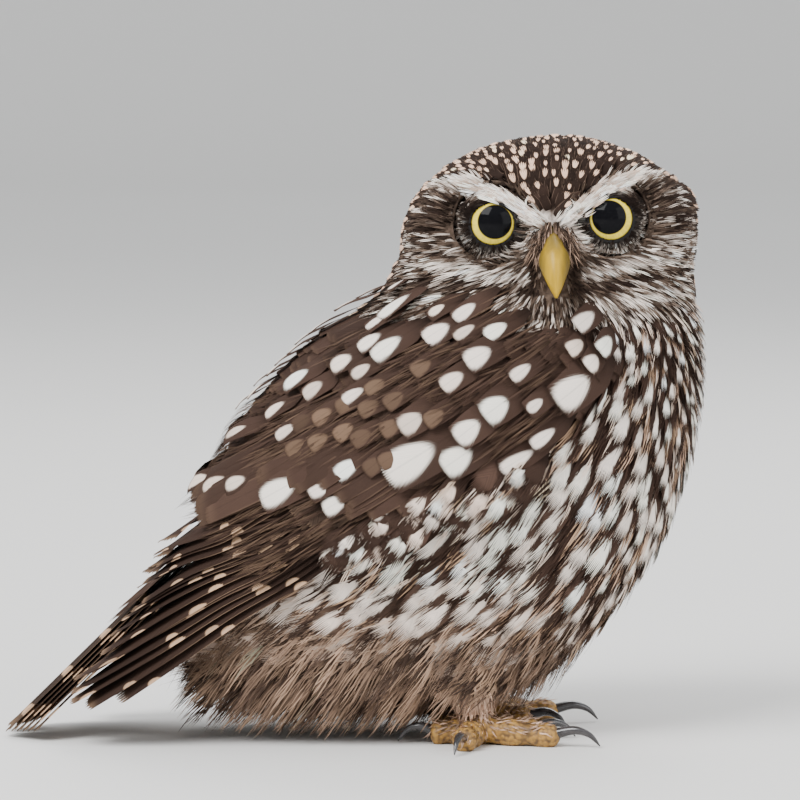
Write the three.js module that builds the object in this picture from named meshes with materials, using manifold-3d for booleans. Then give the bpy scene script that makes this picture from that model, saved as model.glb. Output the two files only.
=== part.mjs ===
// A little owl standing on the floor, life size, with its head turned over its right shoulder.
// Millimetres. +X is where the breast points, +Y the owl's left and +Z up. The floor is at z = 0.
import * as THREE from 'three';
import { mergeVertices } from 'three/addons/utils/BufferGeometryUtils.js';
import Module from 'manifold-3d';

const wasm = await Module();
wasm.setup();

// Driving sizes
const GAP = 0.3; // between neighbouring pieces
const FINENESS = 0.1; // details smaller than this are dropped from the finished pieces
const HEAD_TURN = THREE.MathUtils.degToRad(0.5); // of the face, from straight out of the right side
const HEAD_ROLL = THREE.MathUtils.degToRad(-2.3); // the owl's left eye is the higher one
const HEAD_X = 18.6;
const HEAD_HALF_WIDTH = 35.0;
const HEAD_WIDEST_Z = 117;
const CROWN_Z = 141.2;
const HEAD_FOOT_Z = 101;
const FACE_DEPTH = 27;
const NAPE_DEPTH = 27;
const EYE_RADIUS = 8.0;
const EYE_SPREAD = 13.4; // from the middle of the face
const EYE_Z = 122.6;
const EYE_DEPTH = 18.5;
const IRIS_RADIUS = 5.6;
const BILL_TOP_Z = 120;
const BILL_TIP_Z = 105.6;
const BILL_HALF_WIDTH = 3.2;
const WRIST = new THREE.Vector2(24, 92); // the bend of the folded wing, seen from the side
const WING_TIP = new THREE.Vector2(-97, 5);
const TAIL_ROOT = new THREE.Vector3(-61, 0, 50);
const TAIL_TIP = new THREE.Vector3(-110, 0, 1.6);
const TAIL_FEATHERS = 12;
const FOOT_X = 1.5;
const FOOT_Y = 18;
const VANE_THICKNESS = 0.55;
const SHINGLE_TILT = THREE.MathUtils.degToRad(33); // the lower edge of a flight feather lies outwards

// The body is a fan of ellipses. Each row is one of them: where it meets the back, where it meets the
// breast or belly, both seen from the side, and its half width.
const TORSO_ROWS = [
  { back: [-15, 108], front: [53, 108], half: 30.5 },
  { back: [-31.5, 98], front: [55.5, 88], half: 34 },
  { back: [-44.5, 86], front: [53, 67], half: 35.5 },
  { back: [-54, 73], front: [45.5, 45], half: 35 },
  { back: [-59.5, 60.5], front: [31, 25], half: 33 },
  { back: [-62, 50], front: [9, 9.5], half: 30 },
  { back: [-62.5, 40], front: [-25, 5], half: 26 },
  { back: [-61.5, 30], front: [-53, 9.5], half: 17.5 },
];
// The folded wings lie on a longer fan that follows the body and then closes in on the tail.
const WING_ROWS = [
  ...TORSO_ROWS.slice(0, 5),
  { back: [-64, 49], front: [6, 9.5], half: 29.5 },
  { back: [-71, 38], front: [-34, 7], half: 26.5 },
  { back: [-81.5, 26.5], front: [-58, 4], half: 23.5 },
  { back: [-94, 13], front: [-80, -3], half: 21.5 },
  { back: [-108, -2], front: [-102, -10], half: 20 },
];

// Seeded, so that the feathers vary in the same way each time
function seeded(seed) {
  let state = seed;
  return () => {
    state = (state + 0x6d2b79f5) | 0;
    let t = Math.imul(state ^ (state >>> 15), 1 | state);
    t = (t + Math.imul(t ^ (t >>> 7), 61 | t)) ^ t;
    return ((t ^ (t >>> 14)) >>> 0) / 4294967296;
  };
}
const mix = THREE.MathUtils.lerp;
const bump = (distance, reach) => Math.exp(-((distance / reach) ** 2));

// Solids

function solidOf(geometry) {
  const plain = new THREE.BufferGeometry();
  plain.setAttribute('position', geometry.getAttribute('position'));
  if (geometry.index) plain.setIndex(geometry.index);
  const merged = mergeVertices(plain, 1e-4);
  const vertProperties = new Float32Array(merged.attributes.position.array);
  const corner = (i) => new THREE.Vector3().fromArray(vertProperties, 3 * i);
  const kept = [];
  let volume = 0;
  for (let i = 0; i < merged.index.count; i += 3) {
    const [a, b, c] = [0, 1, 2].map((k) => merged.index.array[i + k]);
    if (a === b || b === c || c === a) continue;
    kept.push(a, b, c);
    volume += corner(a).dot(corner(b).cross(corner(c)));
  }
  if (volume < 0) {
    for (let i = 0; i < kept.length; i += 3) [kept[i + 1], kept[i + 2]] = [kept[i + 2], kept[i + 1]];
  }
  const triVerts = new Uint32Array(kept);
  return new wasm.Manifold(new wasm.Mesh({ numProp: 3, vertProperties, triVerts }));
}

function indexedSolid(points, triangles) {
  const geometry = new THREE.BufferGeometry().setFromPoints(points);
  geometry.setIndex(triangles);
  return solidOf(geometry);
}

// A closed skin over rings of points, with a flat fan over each end
function ringSolid(rings) {
  const count = rings[0].length;
  const points = rings.flat();
  const triangles = [];
  for (let i = 0; i + 1 < rings.length; i += 1) {
    for (let j = 0; j < count; j += 1) {
      const k = (j + 1) % count;
      const [a, b, c, d] = [i * count + j, i * count + k, (i + 1) * count + k, (i + 1) * count + j];
      triangles.push(a, b, c, a, c, d);
    }
  }
  const fan = (ring, first, flip) => {
    const middle = new THREE.Vector3();
    ring.forEach((p) => middle.addScaledVector(p, 1 / count));
    points.push(middle);
    for (let j = 0; j < count; j += 1) {
      const k = (j + 1) % count;
      triangles.push(...(flip ? [first + k, first + j] : [first + j, first + k]), points.length - 1);
    }
  };
  fan(rings[0], 0, true);
  fan(rings.at(-1), (rings.length - 1) * count, false);
  return indexedSolid(points, triangles);
}

// A tube of changing radius along a curve
function tubeSolid(curve, radiusAt, steps, sides) {
  const rings = [];
  const up = new THREE.Vector3(0, 0, 1);
  for (let i = 0; i <= steps; i += 1) {
    const s = i / steps;
    const along = curve.getTangent(s);
    const across = new THREE.Vector3().crossVectors(along, up);
    if (across.lengthSq() < 1e-4) across.set(0, 1, 0);
    across.normalize();
    const over = new THREE.Vector3().crossVectors(across, along);
    const centre = curve.getPoint(s);
    const radius = radiusAt(s);
    rings.push(
      Array.from({ length: sides }, (_, j) => {
        const a = (2 * Math.PI * j) / sides;
        const p = centre.clone().addScaledVector(across, radius * Math.cos(a));
        return p.addScaledVector(over, radius * Math.sin(a));
      }),
    );
  }
  return ringSolid(rings);
}

const joined = (solids) => wasm.Manifold.union(solids);
const largest = (solid) =>
  solid.decompose().reduce((best, piece) => (piece.volume() > best.volume() ? piece : best));

// The fans of ellipses

function fanOf(rows) {
  const back = new THREE.SplineCurve(rows.map((r) => new THREE.Vector2(...r.back)));
  const front = new THREE.SplineCurve(rows.map((r) => new THREE.Vector2(...r.front)));
  const half = new THREE.SplineCurve(rows.map((r, i) => new THREE.Vector2(i, r.half)));
  // A point at station t: angle 0 is the front, and 180 degrees the back
  const pointAt = (t, angle, side) => {
    const [b, f] = [back.getPoint(t), front.getPoint(t)];
    const centre = b.clone().add(f).multiplyScalar(0.5);
    const reach = f.clone().sub(centre);
    const flat = centre.addScaledVector(reach, Math.cos(angle));
    return new THREE.Vector3(flat.x, side * half.getPoint(t).y * Math.sin(angle), flat.y);
  };
  const normalAt = (t, angle, side) => {
    const step = 1e-3;
    const t1 = Math.min(1, t + step);
    const t0 = Math.max(0, t - step);
    const a = THREE.MathUtils.clamp(angle, 0.02, Math.PI - 0.02);
    const alongT = pointAt(t1, a, side).sub(pointAt(t0, a, side));
    const alongA = pointAt(t, a + step, side).sub(pointAt(t, a - step, side));
    return alongT.cross(alongA).multiplyScalar(side).normalize();
  };
  // The station and angle of a place given as seen from the side
  const locate = (x, z) => {
    const turnAt = (t) => {
      const [b, f] = [back.getPoint(t), front.getPoint(t)];
      return (f.x - b.x) * (z - b.y) - (f.y - b.y) * (x - b.x);
    };
    let [low, high] = [0, 1];
    for (let i = 0; i < 24; i += 1) {
      const middle = (low + high) / 2;
      if (turnAt(middle) < 0) low = middle;
      else high = middle;
    }
    const t = (low + high) / 2;
    const [b, f] = [back.getPoint(t), front.getPoint(t)];
    const chord = f.clone().sub(b);
    const share = new THREE.Vector2(x - b.x, z - b.y).dot(chord) / chord.lengthSq();
    return [t, Math.acos(THREE.MathUtils.clamp(2 * share - 1, -0.995, 0.995))];
  };
  // The surface point and normal over a place seen from the side, raised by lift
  const over = (x, z, side, lift) => {
    const [t, angle] = locate(x, z);
    const normal = normalAt(t, angle, side);
    return { point: pointAt(t, angle, side).addScaledVector(normal, lift), normal };
  };
  return { pointAt, normalAt, over };
}

const torsoFan = fanOf(TORSO_ROWS);
const wingFan = fanOf(WING_ROWS);

function torsoForm(grow) {
  const STATIONS = 15;
  const SIDES = 26;
  const rings = [];
  for (let i = 0; i <= STATIONS; i += 1) {
    const t = i / STATIONS;
    rings.push(
      Array.from({ length: SIDES }, (_, j) => {
        const turn = (2 * Math.PI * j) / SIDES;
        const side = turn <= Math.PI ? 1 : -1;
        const angle = turn <= Math.PI ? turn : 2 * Math.PI - turn;
        return torsoFan
          .pointAt(t, angle, side)
          .addScaledVector(torsoFan.normalAt(t, angle, side), grow);
      }),
    );
  }
  const end = rings.at(-1);
  const middle = end.reduce((sum, p) => sum.addScaledVector(p, 1 / SIDES), new THREE.Vector3());
  const outwards = new THREE.Vector3(-0.5, 0, -0.6).normalize();
  for (const [shrink, push] of [[0.82, 3.2], [0.5, 5.2]]) {
    rings.push(end.map((p) => middle.clone().lerp(p, shrink).addScaledVector(outwards, push + grow)));
  }
  return ringSolid(rings);
}

// The head

// Places on the head are worked out facing -Y, then turned and rolled about its middle.
const headPlace = new THREE.Matrix4()
  .makeTranslation(HEAD_X, 0, HEAD_WIDEST_Z)
  .multiply(new THREE.Matrix4().makeRotationZ(HEAD_TURN))
  .multiply(new THREE.Matrix4().makeRotationY(HEAD_ROLL))
  .multiply(new THREE.Matrix4().makeTranslation(0, 0, -HEAD_WIDEST_Z));
const onHead = (x, y, z) => new THREE.Vector3(x, y, z).applyMatrix4(headPlace);

function distanceToLine(x, z, x0, z0, x1, z1) {
  const [dx, dz] = [x1 - x0, z1 - z0];
  const share = THREE.MathUtils.clamp(((x - x0) * dx + (z - z0) * dz) / (dx * dx + dz * dz), 0, 1);
  return Math.hypot(x - x0 - share * dx, z - z0 - share * dz);
}

// How far the face stands out past the plain head: brows and disc rims out, discs and sockets in
function faceRelief(x, z) {
  const side = Math.abs(x);
  const eye = Math.hypot(side - EYE_SPREAD, z - EYE_Z);
  const brow = bump(distanceToLine(side, z, 2.5, 121, 23, 133), 3.4);
  const nose = bump(x, 4.2) * bump(z - 115.5, 9);
  const rim = bump(eye - 17.5, 3) * THREE.MathUtils.smoothstep(side + (120 - z), 12, 22);
  const cheek = bump(side - 9, 6) * bump(z - 110, 5);
  return 2.6 * brow + 2.6 * nose + 1.3 * rim + 1.2 * cheek - 3.4 * bump(eye, 6.5) - 1.6 * bump(eye, 12);
}

function headForm(grow) {
  const AROUND = 32;
  const LEVELS = 14;
  const rings = [];
  for (let i = 0; i < LEVELS; i += 1) {
    const v = i / (LEVELS - 0.6);
    const rise = v < 0.36 ? 0 : ((v - 0.36) / 0.64) * (Math.PI / 2);
    const z = v < 0.36
      ? mix(HEAD_FOOT_Z, HEAD_WIDEST_Z, v / 0.36)
      : HEAD_WIDEST_Z + (CROWN_Z + grow - HEAD_WIDEST_Z) * Math.sin(rise);
    const shrink = Math.cos(rise);
    const tuck = 1 - 0.07 * THREE.MathUtils.smoothstep(HEAD_WIDEST_Z - z, 0, HEAD_WIDEST_Z - HEAD_FOOT_Z);
    rings.push(
      Array.from({ length: AROUND }, (_, j) => {
        const even = j / AROUND;
        // More of the columns are on the face
        const a = 2 * Math.PI * even - 0.42 * Math.cos(2 * Math.PI * even);
        const [c, s] = [Math.cos(a), Math.sin(a)];
        const power = s < 0 ? 0.82 : 0.94;
        const x = (HEAD_HALF_WIDTH * tuck + grow) * shrink * Math.sign(c) * Math.abs(c) ** power;
        const depth = (s < 0 ? FACE_DEPTH * shrink ** 0.85 : NAPE_DEPTH * shrink) * tuck + grow;
        let y = depth * Math.sign(s) * Math.abs(s) ** power;
        if (s < 0) y -= faceRelief(x, z) * THREE.MathUtils.smoothstep(-s, 0.1, 0.6) * Math.min(1, 2 * shrink);
        return onHead(x, y, z);
      }),
    );
  }
  return ringSolid(rings);
}

// The neck joins the head to the shoulders
function neckForm(grow) {
  const LEVELS = 5;
  const AROUND = 26;
  const rings = [];
  for (let i = 0; i <= LEVELS; i += 1) {
    const s = i / LEVELS;
    const [x, z] = [mix(14, HEAD_X, s), mix(96, 117, s)];
    const [halfX, halfY] = [mix(39, 33.5, s) + grow, mix(32.5, 26.5, s) + grow];
    rings.push(
      Array.from({ length: AROUND }, (_, j) => {
        const a = (2 * Math.PI * j) / AROUND;
        return new THREE.Vector3(x + halfX * Math.cos(a), halfY * Math.sin(a), z);
      }),
    );
  }
  return ringSolid(rings);
}

// Eyes and lids

const eyeCentre = (side) => onHead(side * EYE_SPREAD, -EYE_DEPTH, EYE_Z);

function eyeForm(side, radius, sides = 18) {
  const ball = new THREE.SphereGeometry(radius, sides, 12);
  const centre = eyeCentre(side);
  return solidOf(ball.rotateX(Math.PI / 2).translate(centre.x, centre.y, centre.z));
}

// A ring of bare skin round the opening, tipped so that the upper lid comes further down
function lidForm(side, grow, sides = 18) {
  const [inside, outside] = [EYE_RADIUS + GAP - grow, EYE_RADIUS + GAP + 1.1 + grow];
  const open = Math.asin(IRIS_RADIUS / EYE_RADIUS) - grow / EYE_RADIUS;
  const wide = open + 0.2 + (2 * grow) / EYE_RADIUS;
  const profile = [
    [inside, open], [mix(inside, outside, 0.6), open - 0.02], [outside, (open + wide) / 2],
    [outside - 0.2, wide], [inside, wide], [inside, open],
  ].map(([r, a]) => new THREE.Vector2(r * Math.sin(a), r * Math.cos(a)));
  const ring = new THREE.LatheGeometry(profile, sides);
  const facing = onHead(side * 0.04, -1, 0).sub(onHead(0, 0, 0)).normalize();
  const turn = new THREE.Quaternion().setFromUnitVectors(new THREE.Vector3(0, 1, 0), facing);
  const centre = eyeCentre(side);
  return solidOf(ring.applyQuaternion(turn).translate(centre.x, centre.y, centre.z));
}

// The opening between the feathers in front of an eye
function socketForm(side) {
  const opening = new THREE.CylinderGeometry(9.2, 7.2, 16, 14).rotateX(Math.PI / 2);
  const centre = onHead(side * (EYE_SPREAD + 0.3), -EYE_DEPTH - 12, EYE_Z);
  return solidOf(opening.translate(centre.x, centre.y, centre.z));
}

// The bill

// The hooked upper half: sections down a curve from the brow to the tip, narrow, wide, then pointed
function upperBillForm(grow) {
  const path = new THREE.CatmullRomCurve3([
    new THREE.Vector3(0, -24.5, BILL_TOP_Z - 1.5),
    new THREE.Vector3(0, -29, BILL_TOP_Z - 3.2),
    new THREE.Vector3(0, -33.2, 113.6),
    new THREE.Vector3(0, -36, 109.3),
    new THREE.Vector3(0, -36.6, BILL_TIP_Z),
  ]);
  const width = new THREE.SplineCurve(
    [1.9, 2.9, BILL_HALF_WIDTH, 2.1, 0.35].map((w, i) => new THREE.Vector2(i, w)),
  );
  const STEPS = 8;
  const SIDES = 10;
  const rings = [];
  for (let i = 0; i <= STEPS; i += 1) {
    const s = i / STEPS;
    const centre = path.getPoint(s);
    const along = path.getTangent(s);
    const over = new THREE.Vector3(0, along.z, -along.y).normalize();
    if (over.y > 0) over.negate();
    const half = width.getPoint(s).y + grow;
    const deep = (0.62 + 0.3 * s) * half + 0.6;
    rings.push(
      Array.from({ length: SIDES }, (_, j) => {
        const a = (2 * Math.PI * j) / SIDES;
        // The culmen is a rounded ridge and the underside is flatter
        const rise = Math.sin(a) > 0 ? 1.35 : 0.8;
        return centre.clone()
          .add(new THREE.Vector3(half * Math.cos(a), 0, 0))
          .addScaledVector(over, deep * rise * Math.sin(a))
          .applyMatrix4(headPlace);
      }),
    );
  }
  return ringSolid(rings);
}

function lowerBillForm(grow) {
  const path = new THREE.QuadraticBezierCurve3(
    new THREE.Vector3(0, -23, 110.4),
    new THREE.Vector3(0, -29, 109.6),
    new THREE.Vector3(0, -33.6, 107),
  );
  const STEPS = 5;
  const SIDES = 10;
  const rings = [];
  for (let i = 0; i <= STEPS; i += 1) {
    const s = i / STEPS;
    const half = mix(3.4, 0.7, s ** 1.5) + grow;
    const centre = path.getPoint(s);
    rings.push(
      Array.from({ length: SIDES }, (_, j) => {
        const a = (2 * Math.PI * j) / SIDES;
        return onHead(half * Math.cos(a), centre.y, centre.z + 0.5 * (half + 0.4) * Math.sin(a));
      }),
    );
  }
  return ringSolid(rings);
}

function nostrils() {
  return joined([-1, 1].map((side) => {
    const place = onHead(side * 3.1, -30.6, 116.8);
    return solidOf(new THREE.SphereGeometry(0.75, 8, 6).translate(place.x, place.y, place.z));
  }));
}

// Feathers

// A vane: both faces are split alike, and it widens from its root and narrows to a rounded tip.
// path gives the point and normal at a share of the length, and tilt turns it about its own length.
function vane({ path, width, steps = 4, thickness = VANE_THICKNESS, tilt = 0, tip = 0.3 }) {
  const outline = (s) => {
    const root = mix(0.55, 1, THREE.MathUtils.smoothstep(s, 0, 0.35));
    const end = Math.sqrt(Math.max(0, 1 - (Math.max(0, s - 0.72) / 0.3) ** 2));
    return root * mix(tip, 1, end);
  };
  const points = [];
  for (let i = 0; i <= steps; i += 1) {
    const s = 1 - (1 - i / steps) ** 1.25;
    const { point, normal } = path(s);
    const ahead = path(Math.min(1, s + 0.04)).point.sub(path(Math.max(0, s - 0.04)).point).normalize();
    const across = new THREE.Vector3().crossVectors(normal, ahead).normalize();
    across.applyAxisAngle(ahead, tilt);
    const up = new THREE.Vector3().crossVectors(ahead, across).normalize();
    const half = 0.5 * width * outline(s);
    const deep = 0.5 * thickness * mix(1, 0.8, s);
    for (const [k, h] of [[-1, 1], [1, 1], [1, -1], [-1, -1]]) {
      points.push(point.clone().addScaledVector(across, k * half).addScaledVector(up, h * deep));
    }
  }
  const triangles = [];
  const quad = (a, b, c, d) => triangles.push(a, b, c, a, c, d);
  for (let i = 0; i < steps; i += 1) {
    const at = (k) => 4 * i + k;
    quad(at(0), at(1), at(5), at(4));
    // The under face takes the same diagonal as the upper one
    triangles.push(at(3), at(7), at(6), at(3), at(6), at(2));
    quad(at(1), at(2), at(6), at(5));
    quad(at(3), at(0), at(4), at(7));
  }
  quad(1, 0, 3, 2);
  const end = 4 * steps;
  quad(end, end + 1, end + 2, end + 3);
  return indexedSolid(points, triangles);
}

// Wings

const wingAxis = WING_TIP.clone().sub(WRIST).normalize();
const wingUp = new THREE.Vector2(wingAxis.y, -wingAxis.x);
// Along the wing from its bend, and up from its axis towards the back, both in millimetres
const onWing = (along, up) => WRIST.clone().addScaledVector(wingAxis, along).addScaledVector(wingUp, up);

// A smooth line through places and their values
function lineThrough(places) {
  const smooth = new THREE.SplineCurve(places.map(([x, y]) => new THREE.Vector2(x, y)));
  return (x) => {
    const last = places.length - 2;
    const i = THREE.MathUtils.clamp(places.findIndex(([at]) => at > x) - 1, 0, last);
    const beyond = x >= places[last + 1][0];
    const [x0, x1] = [places[beyond ? last : i][0], places[(beyond ? last : i) + 1][0]];
    const share = THREE.MathUtils.clamp((x - x0) / (x1 - x0), 0, 1);
    return smooth.getPoint(((beyond ? last : i) + share) / (last + 1)).y;
  };
}

// The fleshy wing with its down, which holds the roots of all the feathers
const PAD_FRONT = -8;
const PAD_REAR = 64;
const padLow = lineThrough([[-8, -7], [0, -10], [12, -12.5], [30, -11.5], [48, -8.5], [64, -7]]);
const padHigh = lineThrough([[-8, -3], [0, 7], [12, 14], [30, 20], [48, 21.5], [64, 20]]);
const padThickness = lineThrough([[-8, 1], [0, 2.8], [12, 4.4], [30, 5], [48, 5.8], [64, 6.4]]);

function padLift(along, up) {
  const [low, high] = [padLow(along), padHigh(along)];
  const off = Math.min(1, Math.abs((2 * up - low - high) / (high - low)));
  return padThickness(along) * (1 - 0.55 * off ** 3);
}

function wingPad(side) {
  const COLUMNS = 7;
  const ROWS = 5;
  const [tops, bottoms] = [[], []];
  for (let i = 0; i <= COLUMNS; i += 1) {
    const along = mix(PAD_FRONT, PAD_REAR, i / COLUMNS);
    for (let j = 0; j <= ROWS; j += 1) {
      const up = mix(padLow(along), padHigh(along), j / ROWS);
      const flat = onWing(along, up);
      tops.push(wingFan.over(flat.x, flat.y, side, padLift(along, up)).point);
      bottoms.push(wingFan.over(flat.x, flat.y, side, -2.5).point);
    }
  }
  const points = [...tops, ...bottoms];
  const at = (i, j) => i * (ROWS + 1) + j;
  const under = (i, j) => tops.length + at(i, j);
  const triangles = [];
  const quad = (a, b, c, d) => triangles.push(a, b, c, a, c, d);
  for (let i = 0; i < COLUMNS; i += 1) {
    for (let j = 0; j < ROWS; j += 1) {
      quad(at(i, j), at(i, j + 1), at(i + 1, j + 1), at(i + 1, j));
      quad(under(i, j + 1), under(i, j), under(i + 1, j), under(i + 1, j + 1));
    }
    quad(at(i + 1, 0), under(i + 1, 0), under(i, 0), at(i, 0));
    quad(at(i, ROWS), under(i, ROWS), under(i + 1, ROWS), at(i + 1, ROWS));
  }
  for (let j = 0; j < ROWS; j += 1) {
    quad(at(0, j), under(0, j), under(0, j + 1), at(0, j + 1));
    quad(at(COLUMNS, j + 1), under(COLUMNS, j + 1), under(COLUMNS, j), at(COLUMNS, j));
  }
  return indexedSolid(points, triangles);
}

// A feather laid over the wing from one place to another. It rises from lift[0] over the body at its
// root to lift[1] at its tip, or, on the pad, over the pad's own surface.
function wingFeather(side, from, to, { lift, onPad = false, bend = 0, tilt = 0, ...rest }) {
  const path = (s) => {
    const along = mix(from[0], to[0], s);
    const up = mix(from[1], to[1], s) + bend * Math.sin(Math.PI * s);
    const flat = onWing(along, up);
    const pad = onPad ? padLift(along, up) : 0;
    return wingFan.over(flat.x, flat.y, side, pad + mix(lift[0], lift[1], Math.min(1, 1.4 * s)));
  };
  return vane({ path, tilt: -side * tilt, ...rest });
}

// One tier: feathers side by side from low to high on the wing
function tier(side, random, { count, from, to, length, drop, width, lift, steps }) {
  return Array.from({ length: count }, (_, i) => {
    const s = count > 1 ? i / (count - 1) : 0;
    const root = [mix(from[0], to[0], s), mix(from[1], to[1], s)];
    const long = mix(length[0], length[1], s) * (0.96 + 0.08 * random());
    return wingFeather(side, root, [root[0] + long, root[1] + mix(drop[0], drop[1], s)], {
      width: mix(width[0], width[1], s),
      lift: [-0.9, lift + 0.2 * random()],
      onPad: true,
      tilt: 0.3,
      steps,
    });
  });
}

const COVERT_TIERS = [
  { count: 4, from: [43, -2], to: [40, 15], length: [27, 31], drop: [1, -1], width: [9.5, 10], lift: 3.2, steps: 3 },
  { count: 4, from: [28, -5], to: [25, 14], length: [23, 25], drop: [1.5, 0], width: [10, 10], lift: 2.2, steps: 3 },
  { count: 3, from: [14, -6], to: [12, 8], length: [20, 21], drop: [0.5, 2], width: [10, 10], lift: 2.0, steps: 3 },
  { count: 2, from: [1, -5], to: [1, 1], length: [19, 19], drop: [-1, 3], width: [9, 9], lift: 1.8, steps: 3 },
];
const SCAPULAR_TIERS = [
  { count: 2, from: [59, 20], to: [56, 26], length: [31, 29], drop: [-5, -6], width: [10, 9.5], lift: 3.4, steps: 3 },
  { count: 2, from: [42, 21], to: [39, 28], length: [28, 26], drop: [-1, -2], width: [10, 9.5], lift: 2.9, steps: 3 },
  { count: 2, from: [28, 19], to: [26, 25], length: [25, 24], drop: [1, 2], width: [10, 9], lift: 2.5, steps: 3 },
  { count: 1, from: [14, 15], to: [14, 15], length: [24, 24], drop: [4, 4], width: [11, 11], lift: 2.2, steps: 3 },
];
const PRIMARIES = 7;
const SECONDARIES = 5;
const TERTIALS = 2;
const PRIMARY_REACH = [134, 142, 143, 139, 133, 127, 121];

// The flight feathers lie like shingles. The outermost primary is the lowest and lies deepest, and each
// of the others shows only a strip of its lower edge.
function flightFeathers(side) {
  const feathers = [];
  const count = PRIMARIES + SECONDARIES + TERTIALS;
  for (let i = 0; i < count; i += 1) {
    const primary = i < PRIMARIES;
    const s = primary ? i / (PRIMARIES - 1) : (i - PRIMARIES) / (SECONDARIES + TERTIALS - 1);
    const root = [58 - 8 * (i / (count - 1)), mix(-4.5, 15, i / (count - 1))];
    const tip = primary
      ? [PRIMARY_REACH[i], mix(-3, 5, s)]
      : [mix(118, 104, s), mix(6.2, 12, s)];
    feathers.push(wingFeather(side, root, tip, {
      width: primary ? 9 : 10,
      steps: primary ? 5 : 4,
      lift: [2.6, 3.4 + 0.27 * i],
      tilt: SHINGLE_TILT,
      bend: primary ? 0.6 : 0.4,
      tip: 0.25,
    }));
  }
  return feathers;
}

// The bastard wing and the coverts of the primaries lie along the lower front edge
function edgeFeathers(side) {
  return Array.from({ length: 4 }, (_, i) => {
    const root = [12 + 10 * i, -8.5 + 1.1 * i];
    return wingFeather(side, root, [root[0] + 30, -11.5 + 1.8 * i], {
      width: 7, steps: 3, lift: [1.6, 2.6 + 0.4 * i], tilt: 0.3,
    });
  });
}

function wing(side) {
  const random = seeded(7 + side);
  return joined([
    wingPad(side),
    ...flightFeathers(side),
    ...edgeFeathers(side),
    ...[...COVERT_TIERS, ...SCAPULAR_TIERS].flatMap((one) => tier(side, random, one)),
  ]);
}

// Tail

function tail() {
  const along = TAIL_TIP.clone().sub(TAIL_ROOT);
  const length = along.length();
  along.normalize();
  const over = new THREE.Vector3(along.z, 0, -along.x).normalize();
  const place = (reach, aside, depth) => TAIL_ROOT.clone()
    .addScaledVector(along, reach).addScaledVector(over, depth).add(new THREE.Vector3(0, aside, 0));
  const feathers = [];
  const core = [];
  for (const [reach, half, deep] of [[-4, 4, 2.5], [6, 8, 4.6], [17, 8, 3.8]]) {
    core.push(Array.from({ length: 12 }, (_, j) => {
      const a = (2 * Math.PI * j) / 12;
      return place(reach, half * Math.cos(a), -3.2 + deep * Math.sin(a));
    }));
  }
  feathers.push(ringSolid(core));
  const feather = (root, end, width, depth, options) => vane({
    path: (s) => ({
      point: place(mix(root[0], end[0], s), mix(root[1], end[1], s), mix(depth[0], depth[1], s)),
      normal: over.clone(),
    }),
    width,
    ...options,
  });
  const pairs = TAIL_FEATHERS / 2;
  for (let i = 0; i < pairs; i += 1) {
    for (const side of [-1, 1]) {
      const depth = -0.8 - 0.85 * i;
      feathers.push(feather([7, side * (3 + 0.5 * i)], [length - 1.1 * i, side * (4.6 + 1.35 * i)], 9,
        [depth, depth], { steps: 4, tip: 0.45 }));
    }
  }
  // Coverts over and under the roots
  for (let i = 0; i < 3; i += 1) {
    const aside = i - 1;
    feathers.push(feather([2, 3 * aside], [31 - 2 * Math.abs(aside), 5.5 * aside], 8,
      [-0.4, 0.4 - 0.3 * Math.abs(aside)], { steps: 3 }));
    feathers.push(feather([2, 3 * aside], [40 - 3 * Math.abs(aside), 6.5 * aside], 9,
      [-6.4, -7.8 + 0.3 * Math.abs(aside)], { steps: 3 }));
  }
  return joined(feathers);
}

// Legs, feet and claws

const TOES = {
  right: [
    { name: 'hallux', angle: 176, length: 11, claw: 7.5 },
    { name: 'inner', angle: 22, length: 16, claw: 9 },
    { name: 'middle', angle: -15, length: 20, claw: 9.5 },
    { name: 'outer', angle: -104, length: 14.5, claw: 8 },
  ],
  left: [
    { name: 'hallux', angle: -168, length: 11, claw: 7.5 },
    { name: 'inner', angle: -30, length: 16, claw: 9 },
    { name: 'middle', angle: 6, length: 20, claw: 9.5 },
    { name: 'outer', angle: 98, length: 14.5, claw: 8 },
  ],
};
const BALL_HEIGHT = 3.6;
const toeWay = (angle) => {
  const a = THREE.MathUtils.degToRad(angle);
  return new THREE.Vector3(Math.cos(a), Math.sin(a), 0);
};
const ankle = (side) => new THREE.Vector3(FOOT_X, side * FOOT_Y, 0);

function toeForm(start, toe, grow) {
  const way = toeWay(toe.angle);
  const at = (reach, height) => start.clone().addScaledVector(way, reach).setZ(height);
  const curve = new THREE.CatmullRomCurve3([
    at(0, 3.4), at(toe.length * 0.35, 2.9), at(toe.length * 0.7, 2.5), at(toe.length, 2.3),
  ]);
  const radiusAt = (s) => {
    const pads = 0.22 * Math.cos(2 * Math.PI * 2.5 * s);
    const end = Math.sqrt(Math.max(0.12, 1 - (Math.max(0, s - 0.86) / 0.15) ** 2));
    return (mix(3.5, 2.7, s) + pads) * end + grow;
  };
  return tubeSolid(curve, radiusAt, 6, 8);
}

function footForm(side, toes, grow) {
  const start = ankle(side);
  const ball = new THREE.SphereGeometry(4.3 + grow, 10, 8).translate(start.x, start.y, BALL_HEIGHT);
  return joined([solidOf(ball), ...toes.map((toe) => toeForm(start, toe, grow))])
    .trimByPlane([0, 0, 1], 0);
}

function clawForm(side, toe) {
  const way = toeWay(toe.angle);
  const at = (reach, height) => ankle(side).addScaledVector(way, toe.length + reach).setZ(height);
  const curve = new THREE.CatmullRomCurve3([
    at(-1.2, 2.9), at(toe.claw * 0.35, 4.0), at(toe.claw * 0.74, 3.0), at(toe.claw, 0.5),
  ]);
  return tubeSolid(curve, (s) => mix(1.4, 0.28, s ** 1.2), 5, 6);
}

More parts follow.
